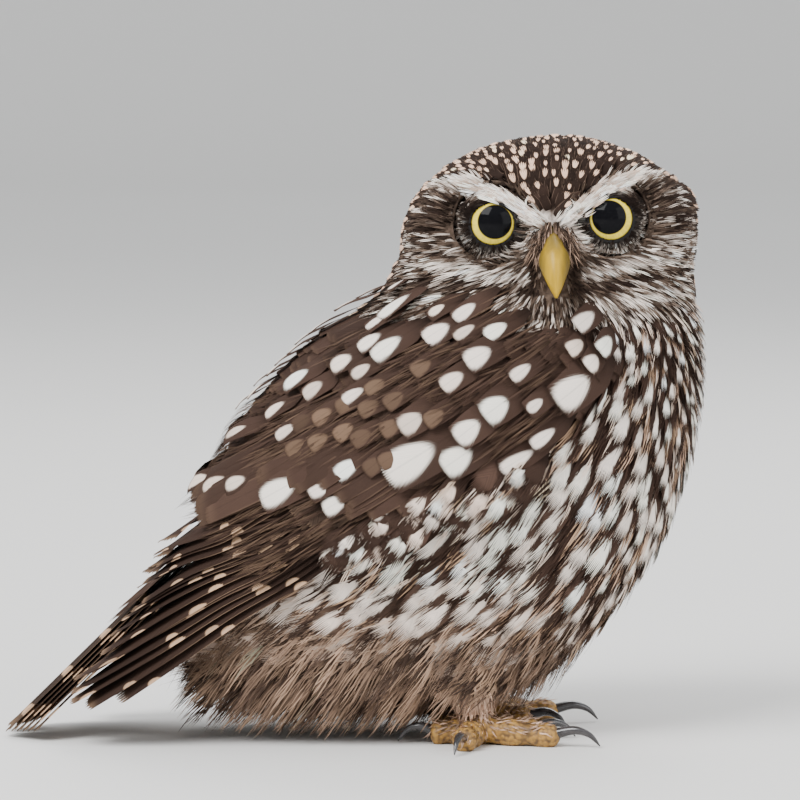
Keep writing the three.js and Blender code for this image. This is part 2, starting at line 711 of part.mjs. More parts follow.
// The feathered shank, from the belly to the foot
function legForm(side) {
  const foot = ankle(side);
  const curve = new THREE.CatmullRomCurve3([
    new THREE.Vector3(foot.x - 3, side * (FOOT_Y - 2), 24),
    new THREE.Vector3(foot.x - 1.5, side * (FOOT_Y - 0.5), 14),
    new THREE.Vector3(foot.x, side * FOOT_Y, 5.5),
  ]);
  return tubeSolid(curve, (s) => mix(8.5, 4.9, s), 4, 12);
}

// Putting it together

const PALETTE = {
  breast: [0x8f8276, 0.95], wings: [0x54443c, 0.9], tail: [0x5c4a40, 0.9], head: [0x6b5a50, 0.95],
  face: [0x9b8d80, 0.95], leg: [0xb9a98f, 0.95], toe: [0xa07c35, 0.6], claw: [0x2f2a28, 0.35],
  bill: [0xc2ab4e, 0.4], eye: [0xe0c94a, 0.1], lid: [0x2a2523, 0.6],
};
const group = new THREE.Group();

function add(name, solid, colour) {
  const { numProp, vertProperties, triVerts } = largest(solid.simplify(FINENESS)).getMesh();
  const position = new Float32Array((vertProperties.length / numProp) * 3);
  for (let i = 0; i < position.length / 3; i += 1) {
    position.set(vertProperties.subarray(i * numProp, i * numProp + 3), i * 3);
  }
  const geometry = new THREE.BufferGeometry();
  geometry.setAttribute('position', new THREE.BufferAttribute(position, 3));
  geometry.setIndex(new THREE.BufferAttribute(triVerts, 1));
  geometry.computeVertexNormals();
  const [color, roughness] = PALETTE[colour];
  const mesh = new THREE.Mesh(geometry, new THREE.MeshStandardMaterial({ color, roughness, metalness: 0 }));
  mesh.name = name;
  group.add(mesh);
}

// Two planes part the head, the neck and the torso. Each is given by a tilt and its height at x = y = 0.
const plane = (slopeX, slopeY, height) => {
  const normal = new THREE.Vector3(-slopeX, -slopeY, 1);
  const length = normal.length();
  return { normal: normal.divideScalar(length).toArray(), offset: height / length };
};
const above = (solid, { normal, offset }, gap) => solid.trimByPlane(normal, offset + gap / 2);
const below = (solid, { normal, offset }, gap) =>
  solid.trimByPlane(normal.map((n) => -n), -(offset - gap / 2));

const chinPlane = plane(0, 0.12, 106);
const shoulderPlane = plane(0.05, 0.06, 100);

const bodyCut = joined([torsoForm(GAP), neckForm(GAP), headForm(GAP)]);
const flesh = joined([torsoForm(0), neckForm(0), headForm(0)]);
const eyesCut = joined([-1, 1].flatMap((side) =>
  [eyeForm(side, EYE_RADIUS + GAP, 14), lidForm(side, GAP, 14), socketForm(side)]));
const billCut = joined([upperBillForm(GAP), lowerBillForm(GAP)]);

const upper = above(flesh, chinPlane, GAP);
add('head', upper.subtract(eyesCut).subtract(billCut), 'head');
add('neck', above(below(flesh, chinPlane, GAP), shoulderPlane, GAP).subtract(billCut), 'face');
add('torso', below(flesh, shoulderPlane, GAP), 'breast');

for (const [name, side] of [['left', 1], ['right', -1]]) {
  // The owl's left eye is on the +X side of its turned face
  add(`eye_${name}`, eyeForm(side, EYE_RADIUS), 'eye');
  add(`eyelid_${name}`, lidForm(side, 0), 'lid');
}
add('bill_upper', upperBillForm(0).subtract(lowerBillForm(GAP)).subtract(nostrils()), 'bill');
add('bill_lower', lowerBillForm(0), 'bill');

const tailWhole = tail().trimByPlane([0, 0, 1], 0);
add('tail', tailWhole.subtract(bodyCut), 'tail');

for (const [name, side] of [['left', 1], ['right', -1]]) {
  add(`wing_${name}`, wing(side).subtract(bodyCut).trimByPlane([0, 0, 1], 0.4), 'wings');
  const toes = TOES[name];
  const footCut = footForm(side, toes, GAP);
  add(`leg_${name}`, legForm(side).subtract(bodyCut).subtract(footCut), 'leg');
  add(`foot_${name}`, footForm(side, toes, 0), 'toe');
  for (const toe of toes) add(`claw_${name}_${toe.name}`, clawForm(side, toe).subtract(footCut), 'claw');
}

// The origin is on the floor under the middle of the owl's box
const box = new THREE.Box3().setFromObject(group);
group.position.set(-(box.min.x + box.max.x) / 2, -(box.min.y + box.max.y) / 2, -box.min.z);

export default group;
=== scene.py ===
"""A life-size model of a little owl: its skin, plumage, eyes, bill, feet and stage, built round its solids.

Shapes are worked out in the design's own frame, in millimetres, with the face towards -Y, +X where the
breast points and the floor at z = 0. to_frame() turns them into metres in the shared frame.
"""

import math

import bmesh
import bpy
import numpy as np
from bpy.props import FloatProperty, FloatVectorProperty, IntProperty, PointerProperty
from mathutils import Matrix, Vector
from mathutils.bvhtree import BVHTree
from mathutils.kdtree import KDTree


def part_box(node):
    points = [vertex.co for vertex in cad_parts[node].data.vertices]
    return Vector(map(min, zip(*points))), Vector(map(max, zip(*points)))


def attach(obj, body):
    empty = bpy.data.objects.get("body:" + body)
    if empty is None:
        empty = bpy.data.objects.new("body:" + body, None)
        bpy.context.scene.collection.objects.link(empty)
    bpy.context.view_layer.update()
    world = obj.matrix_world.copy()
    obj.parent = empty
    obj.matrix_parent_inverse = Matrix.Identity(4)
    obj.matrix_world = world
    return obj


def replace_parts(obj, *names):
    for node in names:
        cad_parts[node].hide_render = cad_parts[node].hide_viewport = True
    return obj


bl_info = {
    "name": "Little Owl Model",
    "version": (1, 0, 0),
    "blender": (4, 5, 0),
    "location": "3D View > Sidebar > Little Owl",
    "description": "Builds the plumage, eyes, bill and feet of a life-size little owl",
    "category": "Object",
}

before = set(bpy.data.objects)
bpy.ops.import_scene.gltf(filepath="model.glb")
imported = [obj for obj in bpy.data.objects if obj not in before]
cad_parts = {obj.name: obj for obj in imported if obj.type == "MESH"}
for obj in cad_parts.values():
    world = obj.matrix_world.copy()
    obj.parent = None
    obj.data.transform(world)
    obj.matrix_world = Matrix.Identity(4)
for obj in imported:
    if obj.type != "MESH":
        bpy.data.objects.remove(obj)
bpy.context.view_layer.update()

MM = 0.001
SIDES = {"left": 1, "right": -1}

# ---------------------------------------------------------------- the design's sizes, in millimetres

HEAD_X = 18.6
HEAD_MIDDLE_Z = 117.0
EYE_RADIUS = 8.0
EYE_SPREAD = 13.4
EYE_Z = 122.6
EYE_DEPTH = 18.5
BILL_TOP_Z = 120.0
BILL_TIP_Z = 105.6
BILL_HALF_WIDTH = 3.2
HEAD_PLACE = (
    Matrix.Translation((HEAD_X, 0, HEAD_MIDDLE_Z))
    @ Matrix.Rotation(math.radians(0.5), 4, "Z")
    @ Matrix.Rotation(math.radians(-2.3), 4, "Y")
    @ Matrix.Translation((0, 0, -HEAD_MIDDLE_Z))
)

# Each row of the body: where it meets the back, where it meets the breast or belly, and its half width
TORSO_ROWS = (
    ((-15, 108), (53, 108), 30.5), ((-31.5, 98), (55.5, 88), 34), ((-44.5, 86), (53, 67), 35.5),
    ((-54, 73), (45.5, 45), 35), ((-59.5, 60.5), (31, 25), 33), ((-62, 50), (9, 9.5), 30),
    ((-62.5, 40), (-25, 5), 26), ((-61.5, 30), (-53, 9.5), 17.5),
)
WING_ROWS = TORSO_ROWS[:5] + (
    ((-64, 49), (6, 9.5), 29.5), ((-71, 38), (-34, 7), 26.5), ((-81.5, 26.5), (-58, 4), 23.5),
    ((-94, 13), (-80, -3), 21.5), ((-108, -2), (-102, -10), 20),
)
WRIST = np.array([24.0, 92.0])
WING_TIP = np.array([-97.0, 5.0])
TAIL_ROOT = np.array([-61.0, 0.0, 50.0])
TAIL_TIP = np.array([-110.0, 0.0, 1.6])
FOOT_X = 1.5
FOOT_Y = 18.0

# The fleshy wing: places along it, its low and high edges and how far it stands off the body
PAD_ALONG = (-8, 0, 12, 30, 48, 64)
PAD_LOW = (-7, -10, -12.5, -11.5, -8.5, -7)
PAD_HIGH = (-3, 7, 14, 20, 21.5, 20)
PAD_THICKNESS = (1, 2.8, 4.4, 5, 5.8, 6.4)

# The large white spots of the wing and shoulder: along the wing, up it, length and width
WING_SPOTS = (
    (56, 39, 4.3, 3), (64, 38.5, 4.3, 3), (34, 38.5, 4, 2.3), (46, 37.5, 6, 2.6), (25, 34.5, 4, 2.6),
    (67, 34, 5.3, 3.6), (28, 32, 8.6, 4.2), (56, 31.5, 6.6, 4.6), (33, 30.7, 6, 2.6), (37, 29, 6, 4),
    (64, 28.4, 5.3, 3), (45, 28, 5.3, 4.6), (74, 27.5, 4.6, 2.4), (54, 27, 5.3, 4.3), (34.5, 25.7, 7.9, 5),
    (20, 25.7, 4, 2.6), (91, 24.5, 5.3, 2.6), (42, 24, 4.6, 3.3), (15, 22, 6, 3.6), (23, 22, 6.6, 4.9),
    (64, 22, 5.3, 3), (87, 21.8, 4.6, 3.3), (46, 20, 5.3, 3), (83, 19.4, 4.9, 3.3), (17.6, 18.2, 5.3, 2.6),
    (78, 16.7, 4.3, 3.3), (11.7, 14.5, 5.6, 3.6), (71, 12, 8.6, 5.9), (18.3, 11.6, 6.3, 4.9),
    (26, 11, 5.6, 4), (38.6, 8.8, 5.6, 4.9), (56, 7.8, 6, 4), (62.5, 7.7, 6.6, 4), (-5.7, 5, 6.6, 4),
    (12.8, 4.5, 5.3, 3), (62.6, 3.2, 6, 4), (44, 2.2, 12.5, 8.2), (0, 2, 5.3, 3.6), (22, 1.8, 6.6, 5.9),
    (29.8, 1.2, 6.3, 5.3), (-5.7, -0.8, 6, 4), (14.6, -2, 4, 2.6), (-1, -2.7, 4, 4), (35.5, -2.8, 7.6, 6.2),
    (55.8, -3.3, 4.6, 2.6), (6.3, -5.1, 9.2, 6.9), (17.6, -9.6, 6.6, 3), (25.3, -10.6, 8.6, 3.3),
)

# Dull scalloped feathers in the middle of the wing: along it and up it
DULL_SPOTS = (
    (38, 14.5), (42, 9.6), (43.5, 15), (47.5, 18.4), (48.5, 11.4), (51, 15), (53.5, 20), (58.5, 21.6),
    (57, 15.6), (50, 6), (46.5, 4.6), (33, 6.4), (62, 17.5), (29, 17), (40, 19),
)

# ---------------------------------------------------------------- what a user would change


def length_prop(name, description, millimetres):
    return FloatProperty(name=name, description=description, default=millimetres * MM, min=0.0,
                         unit="LENGTH", precision=4)


def colour_prop(name, description, default):
    return FloatVectorProperty(name=name, description=description, default=default, size=3,
                               subtype="COLOR", min=0.0, max=1.0)


class OwlPlumage(bpy.types.PropertyGroup):
    """Sizes and colours of the feathers"""

    head_depth: length_prop("Head coat", "Depth of the head's feathers over the skin", 1.7)
    body_depth: length_prop("Body coat", "Depth of the body's feathers over the skin", 2.6)
    crown_length: length_prop("Crown feather", "Length of a crown feather", 6.5)
    face_length: length_prop("Face feather", "Length of a bristle on the cheek", 6.5)
    breast_length: length_prop("Breast feather", "Length of a breast feather", 17.0)
    mantle_length: length_prop("Mantle feather", "Length of a feather of the back", 14.0)
    leg_length: length_prop("Leg feather", "Length of a feather of the shank", 4.0)
    crown_brown: colour_prop("Crown brown", "Ground colour of the crown", (0.023, 0.0137, 0.0102))
    wing_brown: colour_prop("Wing brown", "Ground colour of the wings and back", (0.047, 0.0275, 0.0205))
    breast_brown: colour_prop("Breast brown", "Ground colour of the breast", (0.047, 0.0275, 0.0205))
    tail_brown: colour_prop("Tail brown", "Ground colour of the tail", (0.032, 0.019, 0.013))
    white: colour_prop("White", "Spots of the wings and drops of the breast", (0.93, 0.82, 0.73))
    cream: colour_prop("Cream", "Spots of the crown and feathers of the belly", (0.80, 0.53, 0.38))
    buff: colour_prop("Buff", "Bars of the tail and the flight feathers", (0.46, 0.30, 0.19))
    grey: colour_prop("Grey-brown", "Dull feathers of the face", (0.15, 0.105, 0.078))
    seed: IntProperty(name="Seed", description="Start of the feathers' random draw", default=11, min=0)


class OwlHardParts(bpy.types.PropertyGroup):
    """Sizes and colours of the eyes, bill and feet"""

    iris_radius: length_prop("Iris", "Radius of the yellow iris", 5.0)
    pupil_radius: length_prop("Pupil", "Radius of the black pupil", 3.9)
    iris_yellow: colour_prop("Iris yellow", "Colour of the iris", (0.86, 0.68, 0.075))
    lid_black: colour_prop("Lid", "Colour of the bare eyelid", (0.006, 0.0055, 0.0055))
    bill_yellow: colour_prop("Bill yellow", "Colour of the bill", (0.47, 0.285, 0.010))
    # the olive of the bill's base, its own colour, also used as painted shade on the bill's rounded sides
    bill_olive_and_side_shade: colour_prop("Bill olive", "Colour of the bill's base", (0.10, 0.068, 0.012))
    toe_yellow: colour_prop("Toe yellow", "Colour of the scales of the toes", (0.42, 0.23, 0.055))
    toe_brown: colour_prop("Toe brown", "Colour between the scales", (0.11, 0.062, 0.028))
    claw_grey: colour_prop("Claw grey", "Colour of the claws", (0.055, 0.05, 0.052))


class OwlStage(bpy.types.PropertyGroup):
    """The floor, the lights and the camera"""

    floor_colour: colour_prop("Floor", "Colour of the floor and backdrop", (0.78, 0.77, 0.75))
    key_power: FloatProperty(name="Key light", description="Power of the large light", default=27.0,
                             min=0.0, unit="POWER")
    fill_power: FloatProperty(name="Fill light", description="Power of the side light", default=6.5,
                              min=0.0, unit="POWER")
    sky: FloatProperty(name="Ambient", description="Strength of the even light", default=1.0, min=0.0)
    elevation: FloatProperty(name="Camera height", description="How far the camera looks down",
                             default=math.radians(5), subtype="ANGLE")
    lens: FloatProperty(name="Lens", description="Focal length of the camera in millimetres",
                        default=300.0, min=1.0)


# ---------------------------------------------------------------- frames, curves and fans


def head_point(x, y, z):
    """A place on the head, given with the face straight towards -Y."""
    return np.array(HEAD_PLACE @ Vector((x, y, z)))


def rotated(matrix, points):
    m = np.array(matrix)
    return np.asarray(points) @ m[:3, :3].T + m[:3, 3]


def eye_shift():
    """From the design's frame to the shared one, in millimetres, read off the two eyes."""
    corners = [np.array(c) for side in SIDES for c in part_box(f"eye_{side}")]
    return sum(corners) / len(corners) / MM - head_point(0, -EYE_DEPTH, EYE_Z)


SHIFT = eye_shift()


def to_frame(points):
    return (np.asarray(points, float) + SHIFT) * MM


def to_design(points):
    return np.asarray(points, float) / MM - SHIFT


def unit(v):
    return v / np.maximum(np.linalg.norm(v, axis=-1, keepdims=True), 1e-9)


def mix(a, b, share):
    return a + (b - a) * share


def smooth(x, low, high):
    s = np.clip((x - low) / (high - low), 0, 1)
    return s * s * (3 - 2 * s)


def spline(places, share):
    """A smooth curve through places (k, ...), at shares of its length."""
    v = np.asarray(places, float)
    share = np.asarray(share, float)
    at = np.clip(share, 0, 1) * (len(v) - 1)
    i = np.minimum(at.astype(int), len(v) - 2)
    w = (at - i).reshape(share.shape + (1,) * (v.ndim - 1))
    before, a, b, after = v[np.maximum(i - 1, 0)], v[i], v[i + 1], v[np.minimum(i + 2, len(v) - 1)]
    da, db = (b - before) / 2, (after - a) / 2
    return ((2 * a - 2 * b + da + db) * w + (3 * b - 3 * a - 2 * da - db)) * w**2 + da * w + a


class Fan:
    """A body made of ellipses that turn from the neck to the tail."""

    def __init__(self, rows):
        self.back, self.front, self.half = (np.array([row[k] for row in rows], float) for k in range(3))

    def point(self, t, angle, side):
        back, front = spline(self.back, t), spline(self.front, t)
        flat = (back + front) / 2 + (front - back) / 2 * np.cos(angle)[..., None]
        return np.stack([flat[..., 0], side * spline(self.half, t) * np.sin(angle), flat[..., 1]], -1)

    def along(self, t, angle, side, step=2e-3):
        """The way from the neck to the tail on the surface."""
        t1, t0 = np.minimum(1, t + step), np.maximum(0, t - step)
        return unit(self.point(t1, angle, side) - self.point(t0, angle, side))

    def normal(self, t, angle, side, step=1e-3):
        angle = np.clip(angle, 0.02, math.pi - 0.02)
        round_it = self.point(t, angle + step, side) - self.point(t, angle - step, side)
        return unit(np.cross(self.along(t, angle, side), round_it) * np.asarray(side)[..., None])

    def locate(self, x, z):
        """The station and angle of a place that is seen from the side."""
        x, z = np.asarray(x, float), np.asarray(z, float)
        low, high = np.zeros_like(x), np.ones_like(x)
        for _ in range(22):
            t = (low + high) / 2
            b, f = spline(self.back, t), spline(self.front, t)
            ahead = (f[..., 0] - b[..., 0]) * (z - b[..., 1]) < (f[..., 1] - b[..., 1]) * (x - b[..., 0])
            low, high = np.where(ahead, t, low), np.where(ahead, high, t)
        t = (low + high) / 2
        b, f = spline(self.back, t), spline(self.front, t)
        chord = f - b
        share = ((x - b[..., 0]) * chord[..., 0] + (z - b[..., 1]) * chord[..., 1]) / (chord**2).sum(-1)
        return t, np.arccos(np.clip(2 * share - 1, -0.995, 0.995))

    def over(self, x, z, side, lift):
        t, angle = self.locate(x, z)
        side = side * np.ones_like(t)
        normal = self.normal(t, angle, side)
        return self.point(t, angle, side) + normal * np.asarray(lift)[..., None], normal


TORSO = Fan(TORSO_ROWS)
WING = Fan(WING_ROWS)
WING_AXIS = unit(WING_TIP - WRIST)
WING_UP = np.array([WING_AXIS[1], -WING_AXIS[0]])


def wing_over(along, up, side, lift):
    """The place over the body at a distance along the wing and up it, and the normal there."""
    along, up = np.asarray(along, float), np.asarray(up, float)
    flat = WRIST + along[..., None] * WING_AXIS + up[..., None] * WING_UP
    return WING.over(flat[..., 0], flat[..., 1], side, lift * np.ones_like(along))


def wing_place(points):
    """How far along the wing and up it points lie, as seen from the side."""
    flat = points[..., [0, 2]] - WRIST
    return flat @ WING_AXIS, flat @ WING_UP


def pad_edges(along):
    """The low and the high edge of the fleshy wing at places along it."""
    return np.interp(along, PAD_ALONG, PAD_LOW), np.interp(along, PAD_ALONG, PAD_HIGH)


def pad_lift(along, up):
    """How far the fleshy wing stands off the body."""
    low, high = pad_edges(along)
    off = np.minimum(1, np.abs((2 * up - low - high) / (high - low)))
    return np.interp(along, PAD_ALONG, PAD_THICKNESS) * (1 - 0.55 * off**3) * (1 - smooth(up, high - 2, high + 7))


# ---------------------------------------------------------------- meshes


def finished(name, mesh, material):
    """Puts a mesh in the scene as a piece of the owl."""
    mesh.shade_smooth()
    mesh.materials.append(material)
    piece = bpy.data.objects.new(name, mesh)
    bpy.context.scene.collection.objects.link(piece)
    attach(piece, "root")
    return piece


def from_bmesh(name, bm, material):
    mesh = bpy.data.meshes.new(name)
    bm.to_mesh(mesh)
    bm.free()
    return finished(name, mesh, material)


def add_attribute(mesh, name, values):
    """Gives each vertex a number, or a colour of four."""
    kind, field = ("FLOAT", "value") if np.ndim(values) == 1 else ("FLOAT_COLOR", "color")
    made = mesh.attributes.new(name, kind, "POINT")
    made.data.foreach_set(field, np.ascontiguousarray(values, np.float32).ravel())


def relax(bm, rounds, verts=None):
    for _ in range(rounds):
        bmesh.ops.smooth_vert(bm, verts=bm.verts if verts is None else verts, factor=0.5,
                              use_axis_x=True, use_axis_y=True, use_axis_z=True)


def evened(bm, voxel):
    """One closed surface of even faces round all that a bmesh holds, as a new bmesh."""
    mesh = bpy.data.meshes.new("rough_shape")
    bm.to_mesh(mesh)
    bm.free()
    shape = bpy.data.objects.new("rough_shape", mesh)
    bpy.context.scene.collection.objects.link(shape)
    remesh = shape.modifiers.new("even", "REMESH")
    remesh.mode = "VOXEL"
    remesh.voxel_size = voxel * MM
    even = bpy.data.meshes.new_from_object(shape.evaluated_get(bpy.context.evaluated_depsgraph_get()))
    bpy.data.objects.remove(shape)
    bpy.data.meshes.remove(mesh)
    bm = bmesh.new()
    bm.from_mesh(even)
    bpy.data.meshes.remove(even)
    return bm


def arrays_of(mesh):
    """A mesh's points, vertex normals and triangles, in the design's frame."""
    mesh.calc_loop_triangles()
    co = np.empty(len(mesh.vertices) * 3, np.float32)
    normal = np.empty(len(mesh.vertices) * 3, np.float32)
    tri = np.empty(len(mesh.loop_triangles) * 3, np.int32)
    mesh.vertices.foreach_get("co", co)
    mesh.vertex_normals.foreach_get("vector", normal)
    mesh.loop_triangles.foreach_get("vertices", tri)
    return to_design(co.reshape(-1, 3)), normal.reshape(-1, 3).astype(float), tri.reshape(-1, 3)


def loft(bm, rings):
    """A closed tube through rings of points, all of one count, as a grid whose sides are merged."""
    rings = np.asarray(rings, float)
    count, around = rings.shape[:2]
    closed = np.concatenate([rings, rings[:, :1]], 1).reshape(-1, 3)
    made = bmesh.ops.create_grid(bm, x_segments=around, y_segments=count - 1, size=1)["verts"]
    for v, place in zip(made, to_frame(closed)):
        v.co = place
    bmesh.ops.remove_doubles(bm, verts=made, dist=1e-7)
    rim = {e for v in made if v.is_valid for e in v.link_edges if e.is_boundary}
    bmesh.ops.holes_fill(bm, edges=list(rim), sides=0)
    bmesh.ops.recalc_face_normals(bm, faces=bm.faces)


def tube(bm, path, radius, around, flat=1.0, steps=12, ridge=0.0):
    """A tapering tube along a smooth path, with its radius given at even steps of it."""
    share = np.linspace(0, 1, steps + 1)
    middle = spline(path, share)
    ahead = unit(spline(path, np.minimum(1, share + 0.01)) - spline(path, np.maximum(0, share - 0.01)))
    across = unit(np.cross(ahead, (0.0, 0.02, 1.0)))
    over = np.cross(across, ahead)
    turn = np.linspace(0, 2 * math.pi, around, endpoint=False)
    r = spline(radius, share)[:, None, None]
    up = (flat * (1 + ridge * np.maximum(0, np.sin(turn))))[None, :, None] * np.sin(turn)[None, :, None]
    loft(bm, middle[:, None] + r * (np.cos(turn)[None, :, None] * across[:, None] + up * over[:, None]))


# ---------------------------------------------------------------- the skin, and where feathers go on it


class Surface:
    """A skin in the design's frame that finds even places for roots and the nearest place to a point."""

    def __init__(self, mesh):
        self.co, self.normals, self.tri = arrays_of(mesh)
        self.tree = BVHTree.FromPolygons(self.co.tolist(), self.tri.tolist())

    def spread(self, tries, gap, keep, rng):
        """Roots at least gap(points) apart where keep(points) holds, and the normals there."""
        a, b, c = (self.co[self.tri[:, k]] for k in range(3))
        area = np.linalg.norm(np.cross(b - a, c - a), axis=1)
        middle = (a + b + c) / 3
        weight = area / gap(middle) ** 2 * keep(middle)
        pick = rng.choice(len(area), tries, p=weight / weight.sum())
        r, q = np.sqrt(rng.random(tries))[:, None], rng.random(tries)[:, None]
        at = a[pick] * (1 - r) + b[pick] * r * (1 - q) + c[pick] * r * q
        n = [self.normals[self.tri[pick, k]] for k in range(3)]
        normal = unit(n[0] * (1 - r) + n[1] * r * (1 - q) + n[2] * r * q)
        alive = thinned(at, gap(at))
        return at[alive], normal[alive]

    def nearest(self, points):
        found = [self.tree.find_nearest(p)[:2] for p in points.tolist()]
        return np.array([f[0] for f in found]), np.array([f[1] for f in found])


def thinned(at, gaps):
    """Which of the places stay when each that stays clears those after it."""
    tree = KDTree(len(at))
    for i, p in enumerate(at):
        tree.insert(p, i)
    tree.balance()
    alive = np.ones(len(at), bool)
    for i, p in enumerate(at):
        if alive[i]:
            for _, j, _ in tree.find_range(p, gaps[i]):
                if j > i:
                    alive[j] = False
    return alive


FACE_CENTRE = (0, -31, 119.5)      # what the feathers of the head lead away from, just over the bill
HEAD_TURN = np.array(HEAD_PLACE.to_3x3()).T


def on_head(points):
    """Points in the head's own frame, with the face towards -Y."""
    return rotated(HEAD_PLACE.inverted(), points)


def head_share(points):
    """1 on the head, 0 on the body, with the neck between them."""
    return smooth(points[:, 2] - 0.10 * points[:, 1] - 0.02 * points[:, 0], 99, 106)


BROW = ((0, 123.6), (4, 126.2), (8.5, 129.6), (13, 131.9), (18, 133.0), (24, 133.2), (30, 131), (34, 123))


def brow_height(x):
    return np.interp(np.abs(x), [p[0] for p in BROW], [p[1] for p in BROW])


def crown_share(local):
    """1 on the crown and the back of the head, 0 on the face."""
    above = smooth(local[:, 2] - brow_height(local[:, 0]), 0.2, 1.8)
    behind = smooth(local[:, 1] + 0.12 * (local[:, 2] - 117), -7, 0)
    return np.maximum(above, behind)


def ear_tuft(local):
    """The small tuft of feathers that stands out behind the left ear."""
    return 2.4 * np.exp(-((np.hypot(local[:, 0] - 31.5, local[:, 2] - 126.5) / 3.8) ** 2))


def near_brow(local, width):
    """1 on the white brow, falling off over a width."""
    return np.exp(-((near_line(np.abs(local[:, 0]), local[:, 2], BROW_BAND) / width) ** 2))


def flow_on_head(points, normals):
    """The lie of the feathers: away from the bill, away from the eyes close round them, along the brow."""
    local = on_head(points)
    way = unit(local - FACE_CENTRE)
    for side in (-1, 1):
        out = local - (side * EYE_SPREAD, -25.5, EYE_Z + 0.4)
        reach = np.linalg.norm(out, axis=1, keepdims=True)
        way = mix(way, out / np.maximum(reach, 1e-6), 0.85 * np.exp(-((reach / 9.5) ** 2)))
    along_brow = np.stack([np.sign(local[:, 0]), np.full(len(local), 0.30), np.full(len(local), 0.42)], -1)
    way = mix(way, unit(along_brow), 0.8 * near_brow(local, 2.4)[:, None] * (local[:, 1:2] < -10))
    return tangent(way @ HEAD_TURN, normals)


def flow_on_body(points, normals):
    """The lie of the feathers: along the body from the neck, and along the wing on it."""
    t, angle = TORSO.locate(points[:, 0], points[:, 2])
    side = np.where(points[:, 1] < 0, -1.0, 1.0)
    body = TORSO.along(t, angle, side, 0.02) + np.array([-0.45, 0, 0]) * smooth(np.sin(angle), 0.1, 0.7)[:, None]
    along, up = wing_place(points)
    low, high = pad_edges(along)
    on_wing = smooth(up, low - 4, low + 1) * (1 - smooth(up, high - 2, high + 10)) * smooth(along, -14, -4)
    wing = np.stack([np.full(len(points), WING_AXIS[0]), -0.12 * side, np.full(len(points), WING_AXIS[1])], -1)
    return tangent(mix(body, wing, (0.85 * on_wing)[:, None]), normals)


def flow(points, normals):
    share = head_share(points)[:, None]
    return tangent(mix(flow_on_body(points, normals), flow_on_head(points, normals), share), normals)


def tangent(way, normals):
    return unit(way - normals * (way * normals).sum(-1, keepdims=True))


def foot_reach(points, ahead=0.0):
    """The distance in plan from the nearer foot, or from a place ahead of it."""
    return np.minimum(*(np.hypot(points[:, 0] - FOOT_X - ahead, points[:, 1] - s * FOOT_Y) for s in (-1, 1)))


def leg_share(points):
    """1 on the shanks."""
    return (1 - smooth(foot_reach(points, -1.5), 8, 10)) * (1 - smooth(points[:, 2], 15, 19))


# ---------------------------------------------------------------- markings, the same for skin and coat


def near_line(x, z, line):
    """Distance of places from a line of (x, z) points."""
    best = np.full(len(x), 1e9)
    for (x0, z0), (x1, z1) in zip(line, line[1:]):
        dx, dz = x1 - x0, z1 - z0
        s = np.clip(((x - x0) * dx + (z - z0) * dz) / (dx * dx + dz * dz), 0, 1)
        best = np.minimum(best, np.hypot(x - x0 - s * dx, z - z0 - s * dz))
    return best


# Marks of the face on both sides of the bill: line of (aside, height), half width, paleness
BROW_BAND = ((1.4, 122.4), (5, 124.0), (8.4, 126.2), (13, 129.2), (18, 130.9), (23, 131.9), (28.5, 131.0))
FACE_MARKS = (
    (((25, 125.5), (31, 121)), 4.5, 0.22),                    # the brown ear coverts
    (((19.9, 123.5), (20.2, 119.5)), 1.5, 0.62),              # the pale patch behind the eye
    (((18.6, 126.4), (23, 127.6)), 1.4, 0.04),                # the dark corner of the eye
    (((6.5, 116.6), (12, 115.2), (17.5, 116.6)), 1.7, 0.70),  # the pale crescent under the eye
    (((1.8, 123.6), (4, 120.8), (6.2, 118)), 1.6, 0.85),      # the lores
    (((3.4, 117.0), (5.0, 112.5), (5.4, 109)), 1.5, 0.02),    # painted shade in the hollow beside the bill
    (BROW_BAND, 1.35, 1.0),                                   # the white brow
    (((7, 108.8), (16, 109.8), (28, 113)), 1.5, 0.78),        # the pale ruff
    (((5, 106.2), (16, 106.2), (29, 109.5)), 1.3, 0.10),      # the dark line under it
    (((9, 103), (20, 102.5), (30, 105)), 1.8, 0.62),
)


def face_paleness(local):
    """How pale the face is, from 0, brown, to 1, white."""
    x, z = np.abs(local[:, 0]), local[:, 2]
    pale = np.full(len(x), 0.42)
    for line, width, value in FACE_MARKS:
        pale = mix(pale, value, np.exp(-((near_line(x, z, line) / width) ** 2)))
    return pale


def face_shade(pale, colours):
    """From the crown's brown over grey to white."""
    return mix(mix(colours.crown_brown, colours.grey, np.minimum(1, 2 * pale)), colours.white,
               np.maximum(0, 2 * pale - 1))


def face_tone(local, colours, rng, spread):
    """The colours of face feathers that show at places on the head."""
    pale = smooth(face_paleness(local) + rng.normal(0, spread, len(local)), 0.08, 0.92)[:, None]
    return varied(face_shade(pale, colours), rng, 0.14)


def ground_tone(points, colours):
    """The ground colour of the coat at points of the skin."""
    local = on_head(points)
    face = face_shade(face_paleness(local)[:, None], colours)
    head = mix(face, colours.crown_brown, crown_share(local)[:, None])
    along, up = wing_place(points)
    low, _ = pad_edges(along)
    t, angle = TORSO.locate(points[:, 0], points[:, 2])
    above_wing = (smooth(up, low - 2, low + 1) * smooth(along, -12, -5))[:, None]
    belly = smooth(t + 0.10 * np.cos(angle), 0.42, 0.74)[:, None] * (1 - above_wing)
    breast = mix(colours.breast_brown, colours.cream, 0.85 * belly)
    body = mix(mix(breast, colours.wing_brown, above_wing), head, head_share(points)[:, None])
    return mix(body, colours.cream, leg_share(points)[:, None])


class Colours:
    """The plumage's colours as arrays."""

    def __init__(self, plumage):
        for label in ("crown_brown", "wing_brown", "breast_brown", "tail_brown", "white", "cream", "buff", "grey"):
            setattr(self, label, np.array(getattr(plumage, label)))


# ---------------------------------------------------------------- feather shapes


